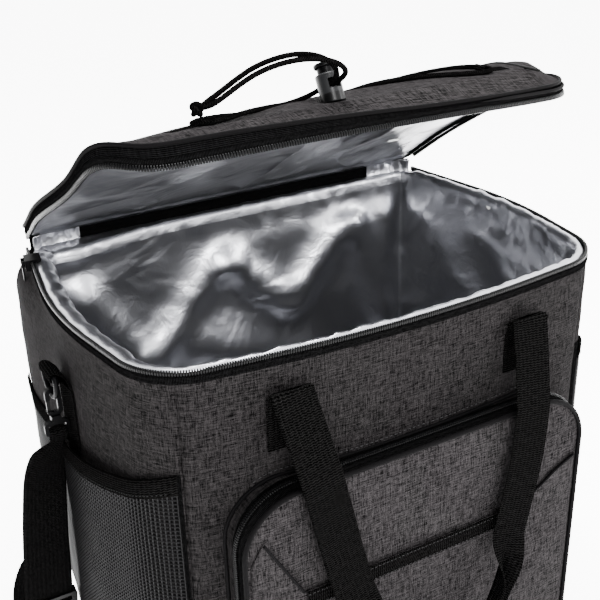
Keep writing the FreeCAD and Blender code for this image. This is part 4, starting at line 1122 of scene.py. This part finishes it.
def side_pockets():
    back, front = 115, -123
    spans = {"left": (BODY.find(-182, back), BODY.find(-167, front)),
             "right": (BODY.find(167, front), BODY.find(182, back))}
    body = "bag_body"
    for side, ends in spans.items():
        mesh(f"{side}_net", *net(ends), M["mesh"], body, replaces=[f"{side}_mesh_pocket"], slot="mesh")
        s = span(ends[0] - 1, ends[1] + 1, 2.5)
        mid = hem_height(s)
        rows = [(-7.5, 0.9), (-6, 1.3), (0, 1.6), (5, 1.5), (7, 0.9), (7, -0.4), (3, -0.6), (-7, -0.6)]
        P = np.array([net_point(s, mid + dz, ends, e) for dz, e in rows])
        UV = grid(s, [0, 2, 7.5, 12.5, 14.5, 16, 20, 30])
        surface(f"{side}_hem", P, UV, M["webbing"], body, replaces=[f"{side}_mesh_hem"], slot="webbing")
        bindings = []
        for s_end in ends:
            z = np.linspace(20, hem_height(s_end) + 7, 90)
            P = np.array([wall_point(np.full_like(z, s_end) + ds, z, h) for ds, h in
                          ((-3.0, 0.3), (-2.6, 1.2), (0, 1.5), (2.6, 1.2), (3.0, 0.3))])
            UV = grid(z, [0, 1, 4, 7, 8])[..., ::-1]
            bindings.append((P.reshape(-1, 3), quads(*P.shape[:2], flip=True), UV.reshape(-1, 2)))
        mesh(f"{side}_net_binding", *join(bindings), M["tape"], body, slot="mesh")
        line = net_point(s[2:-2], mid[2:-2] - 4.8, ends, 1.7)
        stitches(f"{side}_hem_stitches", [line], body, 2.2, 1.2, 0.25, "dark_thread")


# ---------------------------------------------------------------- handles

HANDLE_LINE = {
    "front": [(0, 0), (9, -24), (19.6, -56), (24, -92), (26, -146), (30, -196), (34, -240)],
    "back": [(0, 0), (2, -24), (6, -56), (9, -92), (12, -146), (15, -196), (18, -240)],
}
AXIS = {"front": (-146.0, 316.0), "back": (134.0, 316.0)}


def handle(side, sign):
    """One band of webbing: over the fold, down one leg, doubled at the grip, and up the other."""
    axis_y, axis_z = AXIS[side]
    outs, drops = zip(*HANDLE_LINE[side])
    half = [(-95, -1.5), (-94, 6), (-92, 20), (-87, 50), (-82, 80), (-76, 110), (-68, 142), (-61, 168),
            (-51, 194), (-38, 215), (-20, 224.5), (0, 225.5)]
    flat = nurbs_line([(x, d, 0) for x, d in half + [(-x, d) for x, d in reversed(half[:-1])]], 2.5)[:, :2]
    out = np.interp(flat[:, 1], [-d for d in drops], outs)
    hanging = np.stack([flat[:, 0], axis_y + sign * (out + 2.6), axis_z - flat[:, 1]], -1)
    # up the back of the fold and over its top, at the left end and mirrored at the right
    turn = np.linspace(math.radians(200), math.radians(20), 12)
    x = flat[0, 0]
    first = [(x, axis_y - sign * 2.6, axis_z - 9.0), (x, axis_y - sign * 2.7, axis_z - 4.0)]
    first += [(x, axis_y + sign * 2.9 * math.cos(a), axis_z + 1.0 + 2.9 * math.sin(a)) for a in turn]
    last = [(flat[-1, 0], y, z) for _, y, z in reversed(first)]
    path = resample(np.vstack([first, hanging, last]), 2.2)
    # the band's width lies across the leg in the leg's own hanging plane, and along x over the fold
    outward = np.stack([0 * path[:, 0], np.full(len(path), sign * 0.99), np.full(len(path), 0.14)], -1)
    across = np.cross(outward, frames_along(path))
    over = smooth((axis_z - 4 - path[:, 2]) / 8)[:, None]
    across = across * over + np.array([1.0, 0, 0]) * (1 - over) * np.where(across[:, :1] < 0, -1, 1)
    doubled = sign * 0.93 * smooth((axis_z - path[:, 2] - 150) / 42)
    made = ribbon(f"{side}_handle_web", path, across, 30, 1.6, M["webbing"], None, fold=doubled,
                  columns=16, replaces=[f"{side}_handle"], slot="webbing")
    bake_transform(made)


def tabs(side, sign):
    axis_y, axis_z = AXIS[side]
    stitch = []
    for x in (-95, 95):
        s = BODY.find(x, -138 if sign < 0 else 128)
        skin = [(x, wall_point(s, z, 1.3)[1], z) for z in (276, 284, 292, 300, 306)]
        top = [(x, axis_y - sign * 1.5, 313), (x, axis_y - sign * 0.8, 317.5), (x, axis_y, 318.4)]
        line = nurbs_line(skin + top, 2.0)
        name = f"{side}_tab_{'left' if x < 0 else 'right'}"
        ribbon(name, line, np.tile([1.0, 0, 0], (len(line), 1)), 30, 1.5, M["webbing"], "bag_body",
               replaces=[f"{side}_handle_tabs"], slot="webbing")
        y = skin[0][1] + sign * 1.1
        corners = [(x - 12, 279), (x + 12, 279), (x + 12, 301), (x - 12, 301)]
        stitch.append(np.array([(cx, y, cz) for cx, cz in (corners + corners[:1])]))
        stitch.append(np.array([(x - 12, y, 279), (x + 12, y, 301)]))
        stitch.append(np.array([(x + 12, y, 279), (x - 12, y, 301)]))
    stitches(f"{side}_tab_stitches", stitch, "bag_body", 2.2, 1.2, 0.25, "webbing")


# ---------------------------------------------------------------- strap and its anchors


def strap_tabs():
    for side, sign in (("left", -1), ("right", 1)):
        s = BODY.find(sign * 195.6, -5)
        skin = [(wall_point(s, z, 1.3)[0], -5, z) for z in (226, 240, 256, 270, 282, 290)]
        loop = [(sign * x, -5, z) for x, z in ((200, 297), (206, 303.4), (210.6, 303.2), (211.6, 299.6),
                                               (209.8, 296.4), (205.4, 296.6), (200.5, 292.0), (197.8, 286))]
        line = nurbs_line(skin + loop, 1.2)
        width = np.interp(line[:, 2], [226, 286, 292], [30, 30, 24])
        ribbon(f"{side}_strap_anchor", line, np.tile([0, 1.0, 0], (len(line), 1)), width, 1.3, M["webbing"],
               "bag_body", replaces=[f"{side}_strap_tab"], slot="webbing")


def strap_route():
    """Down the left side, round behind on the floor and up the right side."""
    side = [(208, -5.2, 246.0), (210, -5, 242), (215, -4.4, 236), (221, -3, 222), (224, 1, 190),
            (226, 6, 160), (227.5, 11, 130), (228, 22.5, 90), (228, 34, 50), (228, 46, 28), (228, 62, 12),
            (227.5, 82, 2.4), (225, 104, 1.4), (222, 128, 1.2), (214, 156, 1.2), (198, 183, 1.2),
            (172, 200, 1.2), (140, 204, 1.2), (100, 204, 1.2), (50, 204, 1.2), (0, 204, 1.2)]
    left = [(-x, y, z) for x, y, z in side]
    return left + [(x, y, z) for x, y, z in reversed(side[:-1])]


def shoulder_strap():
    line = nurbs_line(strap_route(), 3.0)
    hang = smooth((line[:, 2] - 8) / 60)[:, None]
    face = np.array([0.0, 1.0, 0.0]) * hang + np.array([0, 0, 1.0]) * (1 - hang)
    across = unit(np.cross(face, frames_along(line)))
    twist = (0.34 + 0.1 * np.sin(line[:, 2] / 30.0)) * smooth((line[:, 2] - 95) / 60)
    toward = np.where(across[:, 0] > 0, 1.0, -1.0) * np.where(line[:, 0] < 0, 1.0, -1.0)
    across = across + np.array([0, 1.0, 0]) * (twist * toward)[:, None]
    width = 38 - 24 * smooth((line[:, 2] - 234) / 10)
    strap = ribbon("shoulder_strap_web", line, across, width, 1.9, M["strap"], "shoulder_strap",
                   replaces=["shoulder_strap"], slot="webbing", columns=14)
    for sign in (-1, 1):
        ring = ((-5, 244), (-2.2, 247.4), (-1.4, 250.6), (-2.0, 253.8), (-5, 255.2), (-8.0, 253.8),
                (-8.6, 250.6), (-7.8, 247.4), (-5, 244))
        q = nurbs_line([(sign * 208.0, y, z) for y, z in ring], 0.8)
        ribbon(f"strap_loop_{'left' if sign < 0 else 'right'}", q,
                            np.tile([1.0, 0, 0], (len(q), 1)), 12, 1.5, M["strap"], "shoulder_strap",
                            slot="webbing", columns=6)


# ---------------------------------------------------------------- hardware kept from CAD


def dress(node, mat, width):
    """Keep a CAD node, with a finish and slightly rounded edges."""
    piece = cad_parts[node]
    piece.data.materials.clear()
    piece.data.materials.append(mat)
    if width:
        made = piece.modifiers.new("edge", "BEVEL")
        made.width = width * MM
        made.segments = 2
        made.limit_method = "ANGLE"
        made.angle_limit = math.radians(35)
    return piece


def two_tone_barrel():
    """Grey above, with a black foot: the boundary is a plane square to the barrel."""
    tree = Material("grey_plastic_footed")
    split = tree.add("VectorMath")
    split.operation = "DOT_PRODUCT"
    tree.give(split.inputs[0], tree.add("TexCoord").outputs["Object"])
    tree.give(split.inputs[1], LID_UP)
    foot = lid_flat([*LOCK, LID_TOP + 7.0]) * MM
    above = tree.maths("GREATER_THAN", split.outputs["Value"], float(foot @ np.array(LID_UP)))
    colour = tree.ramp(above, 0.4, 0.6, (0.0006, 0.0006, 0.0007), (0.0085, 0.0087, 0.0092))
    tree.shade(Base_Color=colour, Roughness=0.30, Specular_IOR_Level=0.10)
    return tree.made


def hardware():
    for node in ("left_d_ring", "right_d_ring", "left_snap_hook", "right_snap_hook"):
        dress(node, M["metal"], 0.25)
    for node in ("left_hook_gate", "right_hook_gate"):
        dress(node, M["plastic"], 0.15)
    dress("strap_adjuster", M["plastic"], 0.5)
    for node in ("main_zip_slider", "main_zip_pull", "pocket_zip_slider", "pocket_zip_pull"):
        dress(node, M["metal"], 0.25)
    dress("cord_lock_barrel", two_tone_barrel(), 0.4)
    dress("cord_lock_plunger", M["plastic"], 0.4)
    coil = dress("cord_lock_spring", M["spring"], 0)
    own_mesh(coil)
    dress("base_panel", M["shell_plain"], 0)
    for node in ("base_foam", "front_foam", "back_foam", "left_foam", "right_foam"):
        dress(node, M["foam"], 0)


# ---------------------------------------------------------------- studio


def area(name, place, target, size, power):
    data = bpy.data.lights.new(name, "AREA")
    data.shape = "RECTANGLE"
    data.size, data.size_y = size
    data.energy = power
    made = bpy.data.objects.new(name, data)
    bpy.context.scene.collection.objects.link(made)
    made.location = place
    made.rotation_euler = (Vector(target) - Vector(place)).to_track_quat("-Z", "Y").to_euler()


def studio():
    world = bpy.data.worlds.new("white")
    bpy.context.scene.world = world
    world.use_nodes = True
    tree = Tree(world.node_tree)
    split = tree.add("SeparateXYZ", Vector=tree.add("TexCoord").outputs["Generated"])
    sky = tree.ramp(split.outputs["X"], -0.80, -0.05, (0.10, 0.10, 0.10), (1, 1, 1))
    tree.give_all(tree.nodes["Background"], {"Color": sky, "Strength": GLOW})
    look = Material("floor")
    look.shade(Base_Color=(0.97, 0.97, 0.97, 1), Roughness=0.9, Metallic=0.0, Specular_IOR_Level=0.1)
    look.shade(Emission_Color=(1, 1, 1, 1), Emission_Strength=GLOW)
    data = bpy.data.meshes.new("floor")
    half = 8.0
    corners = [(-half, -half, 0), (half, -half, 0), (half, half, 0), (-half, half, 0)]
    data.from_pydata(corners, [], [(0, 1, 2, 3)])
    data.materials.append(look.made)
    floor = bpy.data.objects.new("floor", data)
    bpy.context.scene.collection.objects.link(floor)
    area("key", (-0.5, -1.9, 1.5), (0, 0, 0.25), (0.7, 0.9), 85)
    area("fill", (1.7, -1.0, 0.9), (0, 0, 0.25), (0.6, 1.0), 40)
    area("top", (0.1, 0.2, 2.0), (0, 0, 0.3), (0.8, 0.4), 85)


def camera():
    az, el, roll = math.radians(-28.95), math.radians(25.19), math.radians(-1.67)
    back = Vector((math.sin(az) * math.cos(el), -math.cos(az) * math.cos(el), math.sin(el)))
    right = (-back).cross(Vector((0, 0, 1))).normalized()
    up = right.cross(-back)
    r2 = right * math.cos(roll) + up * math.sin(roll)
    u2 = -right * math.sin(roll) + up * math.cos(roll)
    data = bpy.data.cameras.new("photo_view")
    data.lens, data.sensor_width = 60, 36
    data.clip_start, data.clip_end = 0.01, 50
    made = bpy.data.objects.new("photo_view", data)
    bpy.context.scene.collection.objects.link(made)
    turn = Matrix((r2, u2, back)).transposed().to_4x4()
    made.matrix_world = Matrix.Translation((-0.3476, -0.6168, 0.6324)) @ turn
    bpy.context.scene.camera = made


shell_panels()
lower_zip()
liner()
hinge()
lid_edge()
lid_underside()
lid_top()
lid_trim()
bungee()
bungee_tails()
cord_loops()
front_pocket()
pocket_zip()
slip_pocket()
side_pockets()
for side, sign in (("front", -1), ("back", 1)):
    handle(side, sign)
    tabs(side, sign)
strap_tabs()
shoulder_strap()
hardware()
studio()
camera()
